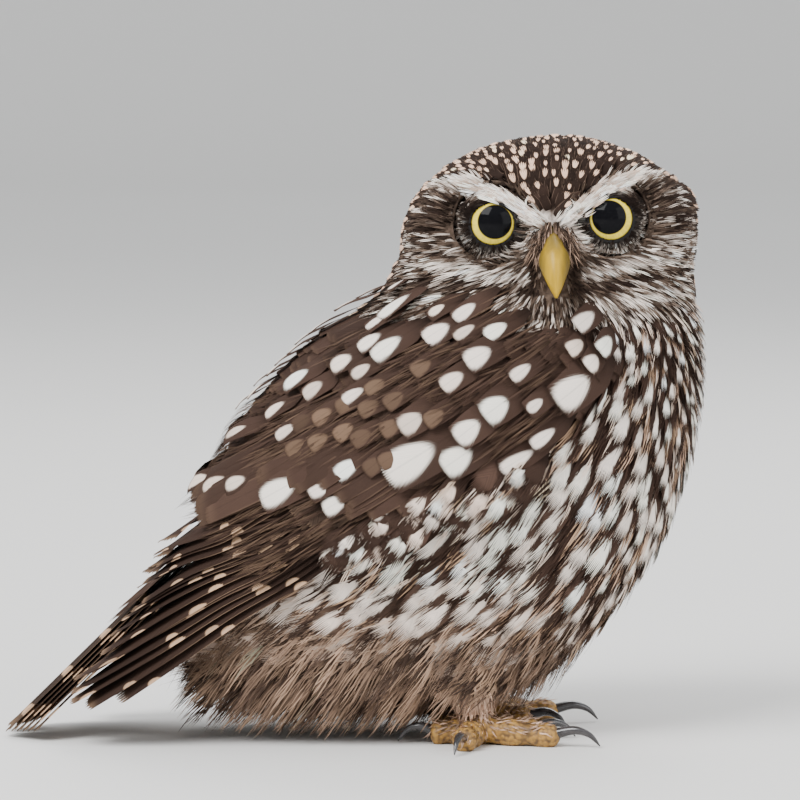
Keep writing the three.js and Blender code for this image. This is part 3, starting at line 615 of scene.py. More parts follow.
TIP_PINCH = 1 - 0.72 * smooth(0.55, 0, 1)   # how far the tips of barbs draw together
SPOT_OFF = (0.0, -9.0, 0.1, 0.1)            # a pale mark that lies off the feather
PATCH = 0.003                               # the side of a small feather's patch on the OFBake map
TRIANGLE_LIMIT = 200000
FLOOR_GAP = 0.3                             # no feather reaches lower than this


def vane_shape(columns, rows, cut, seed, ragged=0.12, spread=0.0, root=0.3):
    """A vane in unit sizes, across -1 to 1 and along 0 to 1. Past cut it is split into pointed barbs.

    ragged is how far the barbs differ, spread how far they fan out and root the width at the root."""
    rng = np.random.default_rng(seed)
    across = np.linspace(-1, 1, columns + 1)
    along = np.linspace(0, cut, rows + 1)
    v, u = np.meshgrid(along, across, indexing="ij")
    half = mix(root, 1.0, smooth(v, 0, 0.4)) * (1 - 0.12 * smooth(v, 0.6, 1.0))
    grid = np.stack([u * half, v, np.zeros_like(u)], -1).reshape(-1, 3)

    def at(i, j):
        return i * (columns + 1) + j

    quads = [(at(i, j), at(i, j + 1), at(i + 1, j + 1), at(i + 1, j))
             for i in range(rows) for j in range(columns)]
    points, tris = [grid], []
    count = len(grid)
    for j in range(columns):
        a, b = grid[at(rows, j)], grid[at(rows, j + 1)]
        middle = (a + b) / 2
        reach = (1 - cut) * math.sqrt(max(0.05, 1 - (abs(middle[0]) * 0.98) ** 2))
        reach *= 1 - ragged * rng.random() * 1.6
        lean = spread * middle[0] + ragged * (rng.random() - 0.5) * 0.25
        drift = lean * 0.5 - 0.10 * middle[0] * (1 - cut)
        left = a * 0.78 + b * 0.22 + (drift, reach * 0.55, 0.01)
        right = a * 0.22 + b * 0.78 + (drift, reach * 0.55, -0.01)
        tip = middle + (lean - 0.30 * middle[0] * (1 - cut) * TIP_PINCH, reach, rng.normal() * 0.015)
        points.append(np.array([left, right, tip]))
        quads.append((at(rows, j), at(rows, j + 1), count + 1, count))
        tris.append((count, count + 1, count + 2))
        count += 3
    return np.concatenate(points), np.array(quads), np.array(tris)


def lock_shape(strands, segments, seed, wave=0.06):
    """A loose tuft: thin tapering strands that leave a common root and drift apart."""
    rng = np.random.default_rng(seed)
    points, quads, tris = [], [], []
    count = 0
    for k in range(strands):
        aim = (2 * (k + 0.5) / strands - 1) + 0.25 * rng.normal() / strands
        reach = (1 - 0.35 * abs(aim) ** 2) * (0.78 + 0.22 * rng.random())
        half = 0.95 / strands
        phase, height = rng.random() * 6.3, rng.normal() * 0.02
        for i in range(segments):
            s = i / segments
            middle = aim * (0.25 + 0.75 * smooth(s, 0, 0.7)) + wave * math.sin(phase + 5 * s) * s
            width = half * (1.15 - 0.85 * s)
            points += [(middle - width, s * reach, height * s), (middle + width, s * reach, height * s)]
            if i:
                quads.append((count + 2 * i - 2, count + 2 * i - 1, count + 2 * i + 1, count + 2 * i))
        points.append((aim + wave * math.sin(phase + 5), reach, height))
        last = count + 2 * segments
        tris.append((last - 2, last - 1, last))
        count = last + 1
    return np.array(points, float), np.array(quads), np.array(tris)


def vanes(count, seed, *sizes, **more):
    """A few vanes that differ in their barbs. sizes: columns, rows and cut."""
    return [vane_shape(*sizes, seed=seed + k, **more) for k in range(count)]


def locks(count, seed, *sizes, **more):
    """A few loose tufts that differ. sizes: strands and segments."""
    return [lock_shape(*sizes, seed=seed + k, **more) for k in range(count)]


def laid(shape, stations, normals, width, tilt, cup):
    """Lays one shape along n paths: stations and normals (k, n, 3), width and tilt (n,). Gives (n, m, 3)."""
    v = np.clip(shape[:, 1], 0, 1)
    at = spline(stations, v)
    ahead = unit(spline(stations, np.minimum(1, v + 0.03)) - spline(stations, np.maximum(0, v - 0.03)))
    up = unit(spline(normals, v))
    across = unit(np.cross(up, ahead))
    up = np.cross(ahead, across)
    tilt = tilt[None, :, None]
    across, up = across * np.cos(tilt) + up * np.sin(tilt), up * np.cos(tilt) - across * np.sin(tilt)
    u = shape[:, 0, None, None]
    half = width[None, :, None]
    rise = shape[:, 2, None, None] * half * 2 - cup * half * (u * u)
    return (at + across * (u * half) + up * rise).transpose(1, 0, 2)


class Coat:
    """One piece of feathers, gathered group by group and then joined into one mesh."""

    def __init__(self):
        self.groups = []
        self.triangles = 0

    def add(self, shapes, path, width, tone, unwrap, rng, pale=None, spot=SPOT_OFF, grain=3.0, edge=0.0,
            tilt=0.0, loose=0.0, cup=0.12, patch=PATCH):
        """Lays shapes by turns along n paths. path: stations and normals, each (k, n, 3).

        tone and pale are the dark and the pale colour (n, 3), and spot is the pale mark (n, 4): its place
        across and along the feather, and its two half sizes. grain is how fine the barbs are, edge how pale
        the rim is, tilt the turn about the feather's own length and loose how far the turns differ. unwrap
        is the place (n, 2) of each root on the OFBake map."""
        stations, normals = path
        n = stations.shape[1]
        solid = np.ones((n, 1))
        looks = {
            "tone": np.hstack([np.broadcast_to(tone, (n, 3)), solid]),
            "pale": np.hstack([np.broadcast_to(tone if pale is None else pale, (n, 3)), solid]),
            "spot": np.broadcast_to(spot, (n, 4)), "grain": np.full(n, grain), "edge": np.full(n, edge),
            "own": rng.random(n),
        }
        width = np.broadcast_to(width, (n,))
        tilt = np.broadcast_to(tilt + loose * rng.standard_normal(n) if loose else tilt, (n,))
        for k, (shape, quads, tris) in enumerate(shapes):
            own = np.arange(k, n, len(shapes))
            if not len(own):
                continue
            co = laid(shape, stations[:, own], normals[:, own], width[own], tilt[own], cup)
            first = (np.arange(len(own)) * len(shape))[:, None, None]
            plume = np.stack([shape[:, 0] / 2 + 0.5, shape[:, 1]], -1)
            bake = unwrap[own][:, None] + (plume - 0.5)[None] * patch
            self.groups.append({
                "co": co.reshape(-1, 3),
                "quads": (quads[None, :, ::-1] + first).reshape(-1, 4),
                "tris": (tris[None, :, ::-1] + first).reshape(-1, 3),
                "plume": np.tile(plume, (len(own), 1)),
                "OFBake": bake.reshape(-1, 2),
                **{label: np.repeat(values[own], len(shape), axis=0) for label, values in looks.items()},
            })
            self.triangles += len(own) * (2 * len(quads) + len(tris))

    def build(self, name, material, slot):
        print(f"{name}: {self.triangles} triangles")
        if self.triangles >= TRIANGLE_LIMIT:
            raise RuntimeError(f"{name} has {self.triangles} triangles")
        first = 0
        for group in self.groups:
            for kind in ("quads", "tris"):
                group[kind] = group[kind] + first
            first += len(group["co"])
        whole = {label: np.concatenate([group[label] for group in self.groups]) for label in self.groups[0]}
        co = whole["co"]
        co[:, 2] = np.maximum(co[:, 2], FLOOR_GAP)
        corners = np.concatenate([whole[kind].ravel() for kind in ("quads", "tris")]).astype(np.int32)
        counts = np.repeat((4, 3), (len(whole["quads"]), len(whole["tris"])))
        mesh = bpy.data.meshes.new(name)
        mesh.vertices.add(len(co))
        mesh.vertices.foreach_set("co", to_frame(co).astype(np.float32).ravel())
        mesh.loops.add(len(corners))
        mesh.loops.foreach_set("vertex_index", corners)
        mesh.polygons.add(len(counts))
        mesh.polygons.foreach_set("loop_start", (np.cumsum(counts) - counts).astype(np.int32))
        for label in ("plume", "OFBake"):
            layer = mesh.uv_layers.new(name=label)
            layer.data.foreach_set("uv", whole[label][corners].astype(np.float32).ravel())
        for label in ("tone", "pale", "spot", "grain", "edge", "own"):
            add_attribute(mesh, label, whole[label])
        mesh.update(calc_edges=True)
        return finished(name, mesh, material)


def over_skin(surface, at, normal, way, length, rise, sink=0.5):
    """Stations and normals of feathers over the skin, at the root, the middle and the tip.

    The root is sunk into the skin. Where the skin bends away from a tip, the feather goes straight on."""
    length, rise = np.asarray(length)[:, None], np.asarray(rise)[:, None]
    straight = at + way * length
    middle, n1 = surface.nearest(at + way * length * 0.5 + normal * 0.3)
    tip, n2 = surface.nearest(straight + normal * 0.3)
    off = np.linalg.norm(tip - straight, axis=1, keepdims=True)
    loose = smooth(off, 0.15 * length, 0.5 * length)
    tip = mix(tip, straight, loose)
    n2 = unit(mix(n2, normal, loose))
    stations = np.stack([at - normal * sink, middle + n1 * rise * 0.62, tip + n2 * rise])
    return stations, np.stack([normal, n1, n2])


def varied(tone, rng, amount=0.16, count=None):
    """Each feather a little lighter or darker than its neighbours. count goes with one colour for all."""
    return np.clip(np.asarray(tone) * np.exp(rng.normal(0, amount, (count or len(tone), 1))), 0, 0.9)


def turned(way, normal, angle):
    """Ways turned about the normals."""
    angle = np.asarray(angle)[:, None]
    return way * np.cos(angle) + np.cross(normal, way) * np.sin(angle)


def head_unwrap(points):
    """Places on the OFBake map for the head: round its axis and up it."""
    local = on_head(points) - (0, 0, 112)
    round_it = np.arctan2(local[:, 0], -local[:, 1]) / (2 * math.pi) + 0.5
    return np.stack([0.02 + 0.96 * round_it, 0.02 + 0.96 * np.clip((local[:, 2] + 14) / 45, 0, 1)], -1)


def body_unwrap(points):
    """Places on the OFBake map for the body: round it and along it."""
    t, angle = TORSO.locate(points[:, 0], points[:, 2])
    side = np.where(points[:, 1] < 0, -1, 1)
    return np.stack([0.5 + 0.48 * side * angle / math.pi, 0.02 + 0.96 * t], -1)


class Sheet:
    """Patches side by side on the OFBake map, for the large vanes of one piece."""

    def __init__(self, columns, cell, patch):
        self.columns, self.cell, self.patch, self.used = columns, cell, patch, 0

    def take(self, count):
        k = np.arange(self.used, self.used + count)
        self.used += count
        return (np.stack([k % self.columns, k // self.columns], -1) + 0.5) * self.cell

    def end_row(self):
        self.used = math.ceil(self.used / self.columns) * self.columns


# ---------------------------------------------------------------- finishes


class Finish:
    """A procedural material, with short ways to add its nodes."""

    def __init__(self, name, sockets):
        self.material = bpy.data.materials.new(name)
        self.material.use_nodes = True
        self.tree = self.material.node_tree
        self.shader = next(n for n in self.tree.nodes if n.type == "BSDF_PRINCIPLED")
        for label, value in sockets.items():
            self.put(self.shader.inputs[label], value)

    def put(self, socket, value):
        if isinstance(value, bpy.types.NodeSocket):
            self.tree.links.new(value, socket)
        elif socket.type == "RGBA" and len(value) == 3:
            socket.default_value = (*value, 1.0)
        else:
            socket.default_value = value

    def node(self, kind, inputs=None, **settings):
        made = self.tree.nodes.new("ShaderNode" + kind)
        for key, value in settings.items():
            setattr(made, key, value)
        for key, value in (inputs or {}).items():
            self.put(made.inputs[key], value)
        return made

    def math(self, operation, *values):
        made = self.node("Math", operation=operation)
        for socket, value in zip(made.inputs, values):
            self.put(socket, value)
        return made.outputs[0]

    def ramp(self, value, low, high, to_low=0.0, to_high=1.0):
        made = self.node("MapRange", {0: value, 1: low, 2: high, 3: to_low, 4: to_high},
                         interpolation_type="SMOOTHSTEP")
        return made.outputs[0]

    def blend(self, share, a, b):
        made = self.node("Mix", data_type="RGBA")
        for key, value in ((0, share), (6, a), (7, b)):
            self.put(made.inputs[key], value)
        return made.outputs[2]

    def attribute(self, name, output="Fac"):
        return self.node("Attribute", attribute_name=name).outputs[output]

    def place(self):
        """The place on the object, in metres."""
        return self.node("TexCoord").outputs["Object"]

    def scaled(self, colour, share):
        """A colour made lighter or darker by a number."""
        made = self.node("VectorMath", {0: colour, "Scale": share}, operation="SCALE")
        return made.outputs[0]

    def noise(self, scale, detail=2.0, place=None, dimensions="3D", **inputs):
        made = self.node("TexNoise", {"Scale": scale, "Detail": detail, **inputs}, noise_dimensions=dimensions)
        if dimensions == "3D":
            self.put(made.inputs["Vector"], place or self.place())
        return made.outputs["Fac"]

    def bump(self, height, strength, distance):
        made = self.node("Bump", {"Height": height, "Strength": strength, "Distance": distance})
        self.put(self.shader.inputs["Normal"], made.outputs[0])

    def colour(self, value):
        self.put(self.shader.inputs["Base Color"], value)
        return self.material


def feather_finish(name, repeats=1, shaft=0.0, ragged=0.55, slope=0.34, contrast=0.5, rim=0.84, jumble=0.2):
    """Barbs, a pale mark, a pale rim, a shaft and painted shade towards the root, all drawn on the feather's own
    map.

    repeats is how many marks lie along the feather and jumble how far they differ between feathers, ragged
    how frayed they are, slope how far the barbs lean and contrast how streaked they are."""
    f = Finish(name, {"Roughness": 0.8, "Specular IOR Level": 0.08})
    plume = f.node("SeparateXYZ", {0: f.node("UVMap", uv_map="plume").outputs[0]})
    across = f.math("ABSOLUTE", f.math("MULTIPLY_ADD", plume.outputs[0], 2.0, -1.0))
    along, own = plume.outputs[1], f.attribute("own")

    # barbs: a streak of noise that each feather reads at a place of its own
    slant = f.math("SUBTRACT", along, f.math("MULTIPLY", across, slope))
    phase = f.math("MULTIPLY_ADD", slant, f.attribute("grain"), f.math("MULTIPLY", own, 917.0))
    streak = f.noise(1.0, 3.0, dimensions="1D", W=phase, Roughness=0.65)

    # the mark: an egg with its blunt end towards the tip
    spot = f.node("Attribute", attribute_name="spot")
    place = f.node("SeparateXYZ", {0: spot.outputs["Vector"]})
    here = along
    if repeats != 1:
        here = f.math("FRACT", f.math("MULTIPLY_ADD", along, repeats, f.math("MULTIPLY", own, jumble)))
    dv = f.math("DIVIDE", f.math("SUBTRACT", here, place.outputs[1]), spot.outputs["Alpha"])
    du = f.math("DIVIDE", f.math("SUBTRACT", across, place.outputs[0]), place.outputs[2])
    taper = f.math("MAXIMUM", 0.75, f.math("MULTIPLY_ADD", dv, -0.3, 1.0))
    du = f.math("MULTIPLY", du, f.math("MINIMUM", 1.7, taper))
    off = f.math("SQRT", f.math("ADD", f.math("MULTIPLY", du, du), f.math("MULTIPLY", dv, dv)))
    off = f.math("MULTIPLY_ADD", f.math("SUBTRACT", streak, 0.5), ragged, off)
    mark = f.ramp(off, 0.8, 1.06, 1.0, 0.0)

    shade = f.math("MULTIPLY_ADD", streak, 2 * contrast, 1.0 - contrast)
    # painted shade: each feather is drawn darker towards its root, standing in for the shade of the feathers that
    # overlap it
    root = f.ramp(along, 0.0, 0.45, 0.45, 1.0)
    tone = f.scaled(f.attribute("tone", "Color"), f.math("MULTIPLY", shade, root))
    pale = f.scaled(f.attribute("pale", "Color"), f.math("MULTIPLY_ADD", streak, 0.6, 0.66))
    border = f.ramp(f.math("MAXIMUM", across, along), rim, 0.99)
    tone = f.blend(f.math("MULTIPLY", border, f.attribute("edge")), tone, pale)
    colour = f.blend(mark, tone, pale)
    if shaft:
        line = f.math("MULTIPLY", f.ramp(across, 0.02, 0.06, 1.0, 0.0), shaft)
        colour = f.blend(line, colour, f.scaled(colour, 0.35))
    f.bump(streak, 0.35, 0.0002)
    return f.colour(colour)


def skin_finish():
    """The down between the feathers, a dull copy of their colours."""
    f = Finish("owl_down", {"Roughness": 0.95, "Specular IOR Level": 0.1})
    fluff = f.noise(900.0, 4.0)
    f.bump(fluff, 0.5, 0.0005)
    return f.colour(f.scaled(f.attribute("tone", "Color"), f.ramp(fluff, 0.3, 0.7, 0.45, 0.95)))


# ---------------------------------------------------------------- pieces

SKIN = {}           # the surface of the skin, which the feathers' operators share
SKIN_NODES = ("torso", "neck", "head", "leg_left", "leg_right")
SKIN_GROW = 0.5     # how far the solids are grown before they are joined
SKIN_VOXEL = 1.15
PAD_DEPTH = 1.2     # of the coat over the fleshy wing
SHANK_DEPTH = 0.9


def start(number):
    """The sizes, their colours and random draws for the operator of a number."""
    sizes = bpy.context.scene.owl_plumage
    return sizes, Colours(sizes), np.random.default_rng(sizes.seed + number)


def wing_pad(side, bm, depth):
    """The fleshy wing, from under the body's surface out to the roots of its feathers."""
    along = np.linspace(PAD_ALONG[0] + 1.0, PAD_ALONG[-1] + 4.0, 22)[:, None] * np.ones(13)
    low, high = pad_edges(along)
    up = mix(low + 1.0, high - 0.5, np.linspace(0, 1, 13))
    top, _ = wing_over(along, up, side, pad_lift(along, up) + depth)
    under, _ = wing_over(along, up, side, -4.0)
    loft(bm, np.concatenate([top, under[:, ::-1]], 1))


def grown_copy(bm, nodes, reach):
    """Adds copies of solids to a bmesh, merged and grown a little so that they meet."""
    for node in nodes:
        part = bmesh.new()
        part.from_mesh(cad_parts[node].data)
        bmesh.ops.remove_doubles(part, verts=part.verts, dist=1e-6)
        part.normal_update()
        for v, way in [(v, v.normal.copy()) for v in part.verts]:
            v.co += way * reach
        mesh = bpy.data.meshes.new(node + "_grown")
        part.to_mesh(mesh)
        part.free()
        bm.from_mesh(mesh)
        bpy.data.meshes.remove(mesh)


class OWL_OT_skin(bpy.types.Operator):
    """One skin under all the feathers, inside the head, neck, body, legs and wings"""

    bl_idname = "owl.skin"
    bl_label = "Skin"

    def execute(self, context):
        sizes, colours, _ = start(0)
        bm = bmesh.new()
        grown_copy(bm, SKIN_NODES, SKIN_GROW * MM)
        for side in SIDES.values():
            wing_pad(side, bm, SKIN_GROW)
        bm = evened(bm, SKIN_VOXEL)
        relax(bm, 4)
        bm.normal_update()
        co = to_design([v.co for v in bm.verts])
        along, up = wing_place(co)
        low, high = pad_edges(along)
        pad = (smooth(up, low - 3, low) * (1 - smooth(up, high, high + 4))
               * smooth(along, -10, -6) * (1 - smooth(along, 64, 70)))
        head = head_share(co)
        depth = mix(mix(sizes.body_depth, PAD_DEPTH * MM, pad), sizes.head_depth, head)
        depth = mix(depth, SHANK_DEPTH * MM, leg_share(co)) + SKIN_GROW * MM
        for v, way, deep in zip(bm.verts, [v.normal.copy() for v in bm.verts], depth):
            v.co -= way * deep
        relax(bm, 2)
        relax(bm, 8, [v for v, share in zip(bm.verts, back_share(co) * (1 - head)) if share > 0.5])
        tone = ground_tone(to_design([v.co for v in bm.verts]), colours)
        skin = from_bmesh("skin", bm, skin_finish())
        add_attribute(skin.data, "tone", np.hstack([tone, np.ones((len(tone), 1))]))
        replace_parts(skin, *SKIN_NODES)
        SKIN["surface"] = Surface(skin.data)
        return {"FINISHED"}


def eye_clear(local, reach):
    """Where places are clear of the open eyes and the bill."""
    clear = np.ones(len(local), bool)
    front = local[:, 1] < -12
    for side in (-1, 1):
        off = np.hypot(local[:, 0] - side * (EYE_SPREAD + 0.3), local[:, 2] - EYE_Z)
        clear &= ~(front & (off < reach))
    bill = np.abs(local[:, 0]) < 2.3 + 0.6 * smooth(-local[:, 2], -117, -112)
    clear &= ~(front & bill & (local[:, 2] < BILL_TOP_Z - 0.5) & (local[:, 2] > 106))
    return clear


def seen_on_head(points, reach):
    """Where a feather with its root at a place shows, in the head's own frame."""
    local = on_head(points)
    return local + reach * unit(local - FACE_CENTRE)


class OWL_OT_crown(bpy.types.Operator):
    """Short overlapping feathers of the crown and nape, some with a pale drop"""

    bl_idname = "owl.crown"
    bl_label = "Crown feathers"

    def execute(self, context):
        sizes, colours, rng = start(0)
        surface = SKIN["surface"]
        long = sizes.crown_length / MM

        def keep(points):
            on_crown = crown_share(seen_on_head(points, 0.5 * long)) > 0.5
            return (head_share(points) > 0.35) & on_crown & eye_clear(on_head(points), 6.5)

        marked = surface.spread(20000, lambda q: mix(2.1, 3.1, smooth(on_head(q)[:, 1], -14, 12)), keep, rng)
        plain = surface.spread(30000, lambda q: mix(1.5, 2.2, smooth(on_head(q)[:, 1], -8, 14)), keep, rng)
        coat = Coat()
        for (at, normal), is_marked in ((plain, False), (marked, True)):
            n = len(at)
            local = on_head(at)
            back = smooth(local[:, 1], -10, 14)
            low = smooth(-local[:, 2], -118, -106)
            length = long * (0.74 + 0.5 * back + 0.3 * low) * rng.uniform(0.88, 1.12, n)
            way = turned(flow(at, normal), normal, rng.normal(0, 0.12, n))
            rise = sizes.head_depth / MM * rng.uniform(0.85, 1.15, n) + (0.45 if is_marked else 0.1)
            tone = varied(mix(colours.crown_brown, colours.wing_brown, back[:, None]), rng)
            spot = SPOT_OFF
            if is_marked:
                size = rng.uniform(0.62, 1.2, n) * (0.85 + 0.25 * back)
                spot = np.stack([np.zeros(n), np.full(n, 0.72), 0.58 * size, 0.26 * size], -1)
            pale = varied(colours.cream, rng, 0.14, n)
            coat.add(vanes(4, 0, 6, 4, 0.72, ragged=0.25),
                     over_skin(surface, at, normal, way, length, rise + ear_tuft(local)),
                     length * (0.28 if is_marked else 0.25), tone, head_unwrap(at), rng,
                     pale=pale, spot=spot, grain=16.0, edge=0.12, loose=0.08)
        coat.build("crown_feathers", feather_finish("owl_crown", ragged=0.35), "head_plumage")
        return {"FINISHED"}


def eye_reach(local):
    """The distance from the middle of the nearer eye, as seen from the front."""
    return np.hypot(np.abs(local[:, 0]) - EYE_SPREAD, local[:, 2] - EYE_Z)


class OWL_OT_face(bpy.types.Operator):
    """Fine bristles and streaked feathers of the face, round the eyes and bill"""

    bl_idname = "owl.face"
    bl_label = "Face feathers"

    # Bristles over the bill's base: how many, the heights of their roots, how far out their roots reach, how
    # far they spread, their shortest and longest, and their width
    BILL_BRISTLES = (
        (150, (116.0, 121.5), 4.4, 0.8, (4.0, 7.5), 0.12),
        (90, (120.4, 122.6), 1.6, 0.25, (2.8, 4.6), 0.2),
    )
    LID_ROWS = 8            # rows of bristles round each lid
    LID_ROW = 120           # bristles in a row
    BROW_TUFTS = 150

    def add_cheeks(self, coat, sizes, colours, surface, rng):
        """All of the face but what lies over the eyes and the bill."""
        long = sizes.face_length / MM

        def keep(points):
            off_crown = crown_share(seen_on_head(points, 0.75 * long)) < 0.5
            return (head_share(points) > 0.12) & off_crown & eye_clear(on_head(points), 6.4)

        def near(points):
            """0 close to the eyes and bill, 1 out on the cheeks."""
            local = on_head(points)
            bill = np.hypot(local[:, 0], (local[:, 2] - 115) * 0.7)
            return np.minimum(smooth(eye_reach(local), 6, 15), smooth(bill, 4, 15))

        at, normal = surface.spread(90000, lambda q: mix(0.52, 0.72, near(q)), keep, rng)
        n = len(at)
        local = on_head(at)
        out = near(at)
        brow = near_brow(local, 2.5)
        length = long * mix(0.5, 1.0, out) * rng.uniform(0.75, 1.2, n) * (1 - 0.30 * brow)
        width = mix(0.26, 0.38, out) * rng.uniform(0.8, 1.25, n)
        way = turned(flow(at, normal), normal, rng.normal(0, 0.13, n))
        disc = np.exp(-(((eye_reach(local) - 9.0) / 1.9) ** 2)) * (local[:, 1] < -12)
        rise = sizes.head_depth / MM * mix(0.75, 1.0, out) * rng.uniform(0.7, 1.35, n) + 0.9 * brow \
            + ear_tuft(local) + 1.7 * disc
        tone = face_tone(on_head(at + way * (0.62 * length)[:, None]), colours, rng, mix(0.14, 0.29, out))
        coat.add(locks(5, 0, 2, 4), over_skin(surface, at, normal, way, length, rise, 0.4), width, tone,
                 head_unwrap(at), rng, loose=0.3)

    def add_lid_bristles(self, coat, side, colours, surface, rng):
        """Short bristles round the lid, swept outwards over the eye."""
        n = self.LID_ROWS * self.LID_ROW
        centre = np.array([side * EYE_SPREAD, -EYE_DEPTH, EYE_Z])
        facing = unit(np.array([side * 0.04, -1.0, 0.0]))
        outward = unit(side * np.array([1.0, 0.0, 0.0]) - side * facing[0] * facing)
        turn = np.linspace(0, 2 * math.pi, self.LID_ROW, endpoint=False)
        turn = np.tile(turn, self.LID_ROWS) + rng.normal(0, 0.04, n)
        brow = smooth(np.sin(turn - 0.35), 0.0, 0.7)
        off = np.repeat(np.linspace(0.675, 1.12, self.LID_ROWS), self.LID_ROW)
        off = off + rng.normal(0, 0.02, n) - 0.02 * brow
        reach = rng.uniform(0.16, 0.50, n) * (1 - 0.72 * brow)
        sweep = -0.55 * brow * rng.uniform(0.8, 1.2, n)

        def place(share, radius):
            polar, angle = off + share * reach, turn + share * sweep
            flat = np.cos(angle)[:, None] * outward + np.sin(angle)[:, None] * np.array([0.0, 0.0, 1.0])
            return centre + radius * (np.cos(polar)[:, None] * facing + np.sin(polar)[:, None] * flat)

        local = [place(0.0, 8.2), place(0.5, 8.85), place(1.0, 8.95)]
        for k in (1, 2):            # where the cheek stands out further than the eye, lie on the cheek
            found, way = surface.nearest(rotated(HEAD_PLACE, local[k]))
            found = on_head(found + way * (1.1 + 0.3 * brow)[:, None])
            local[k] = np.where(((found - local[k]) @ facing > 0)[:, None], found, local[k])
        local = np.stack(local)
        normals = unit(mix(unit(local - centre), facing, 0.35)) @ HEAD_TURN
        tone = 0.75 * face_tone(local[1] * 0.4 + local[2] * 0.6 + (0, 0, 0.5), colours, rng, 0.26)
        tone *= (1 - 0.5 * smooth(np.cos(turn), 0.1, 0.8))[:, None]
        rim = np.interp(np.arange(n) // self.LID_ROW, (0, 1, 2, 3), (0.95, 0.75, 0.3, 0))[:, None]
        coat.add(locks(3, 5, 2, 3), (rotated(HEAD_PLACE, local), normals), rng.uniform(0.24, 0.36, n),
                 mix(tone, 0.4 * colours.crown_brown, rim), head_unwrap(rotated(HEAD_PLACE, local[1])), rng,
                 loose=0.25)

    def add_bill_bristles(self, coat, side, colours, rng):
        """Bristles that hang over the base of the bill."""
        for n, heights, outmost, spread, reaches, width in self.BILL_BRISTLES:
            aside = rng.uniform(0.3, outmost, n)
            root = np.stack([side * aside, rng.uniform(-28.8, -26.8, n), rng.uniform(*heights, n)], -1)
            way = unit(np.stack([side * rng.uniform(-0.1, spread, n), rng.uniform(-0.6, -0.3, n),
                                 rng.uniform(-1.0, -0.5, n)], -1))
            reach = rng.uniform(*reaches, (n, 1))
            middle = root + way * reach * 0.5 + (0, -0.7, 0.2)
            local = np.stack([root, middle, root + way * reach + (0, 0.2, -0.5)])
            light = mix(colours.grey, colours.cream, 0.55)
            tone = varied(mix(colours.crown_brown, light, rng.random((n, 1)) ** 2), rng)
            normals = np.broadcast_to(np.array([side * 0.5, -0.85, 0.2]), local.shape)
            coat.add(locks(3, 9, 1, 4), (rotated(HEAD_PLACE, local), normals), width, tone,
                     head_unwrap(rotated(HEAD_PLACE, root)), rng)

    def add_brow(self, coat, side, colours, surface, rng):
        """The white brow: a straight band of feathers that rises from the bill over the eye."""
        n = self.BROW_TUFTS
        line = np.array(BROW_BAND[:6], float)
        first = rng.uniform(0.02, 0.80, n)
        aside = rng.normal(0, 0.7, n)
        long = rng.uniform(0.14, 0.24, n)
        stations = []
        for share, lift in ((0.0, -0.4), (0.5, 0.7), (1.0, 1.0)):
            flat = spline(line, first + share * long)
            x, z = side * flat[:, 0], flat[:, 1] + aside * (1 + 0.4 * share) + 0.5 * share
            off = (flat[:, 0] - EYE_SPREAD) ** 2 + (z - EYE_Z) ** 2
            over_eye = np.where(off < EYE_RADIUS**2, -EYE_DEPTH - np.sqrt(np.maximum(0, 8.7**2 - off)), 0)
            found, way = surface.nearest(rotated(HEAD_PLACE, np.stack([x, np.full(n, -27.0), z], -1)))
            on_skin = on_head(found + way * 1.2)[:, 1]
            stations.append(np.stack([x, np.minimum(over_eye, on_skin) - lift, z], -1))
        local = np.stack(stations)
        facing = unit(np.array([side * 0.15, -1.0, 0.35])) @ HEAD_TURN
        dull = 0.8 * (rng.random((n, 1)) < 0.30)
        tone = varied(mix(colours.white, mix(colours.grey, colours.cream, 0.4), dull), rng, 0.18)
        coat.add(locks(3, 12, 3, 4), (rotated(HEAD_PLACE, local), np.broadcast_to(facing, local.shape)),
                 rng.uniform(0.40, 0.62, n), tone, head_unwrap(rotated(HEAD_PLACE, local[0])), rng)

    def execute(self, context):
        sizes, colours, rng = start(1)
        surface = SKIN["surface"]
        coat = Coat()
        self.add_cheeks(coat, sizes, colours, surface, rng)
        for side in SIDES.values():
            self.add_lid_bristles(coat, side, colours, surface, rng)
            self.add_bill_bristles(coat, side, colours, rng)
            self.add_brow(coat, side, colours, surface, rng)
        coat.build("face_feathers", feather_finish("owl_face", slope=0.0, contrast=0.3), "face_plumage")
        return {"FINISHED"}


def pad_share(points):
    """1 over the fleshy wing, 0 elsewhere."""
    along, up = wing_place(points)
    low, high = pad_edges(along)
    return (smooth(up, low - 1.5, low + 0.5) * (1 - smooth(up, high - 1, high + 2))
            * smooth(along, -10, -7) * (1 - smooth(along, 64, 68)) * (np.abs(points[:, 1]) > 5))


def between_spots(along, up):
    """Where places on the wing lie off its white spots."""
    clear = np.ones(len(along), bool)
    for a, u, long, wide in WING_SPOTS:
        clear &= np.hypot((along - a) / (0.9 * long), (up - u) / (0.8 * wide)) > 1
    return clear


def back_share(points):
    """1 above the wings, on the shoulders and back."""
    along, up = wing_place(points)
    low = pad_edges(along)[0] + 4.5 * smooth(along, 10, 24)
    return smooth(up, low - 1.5, low + 0.5) * smooth(along, -14, -8)


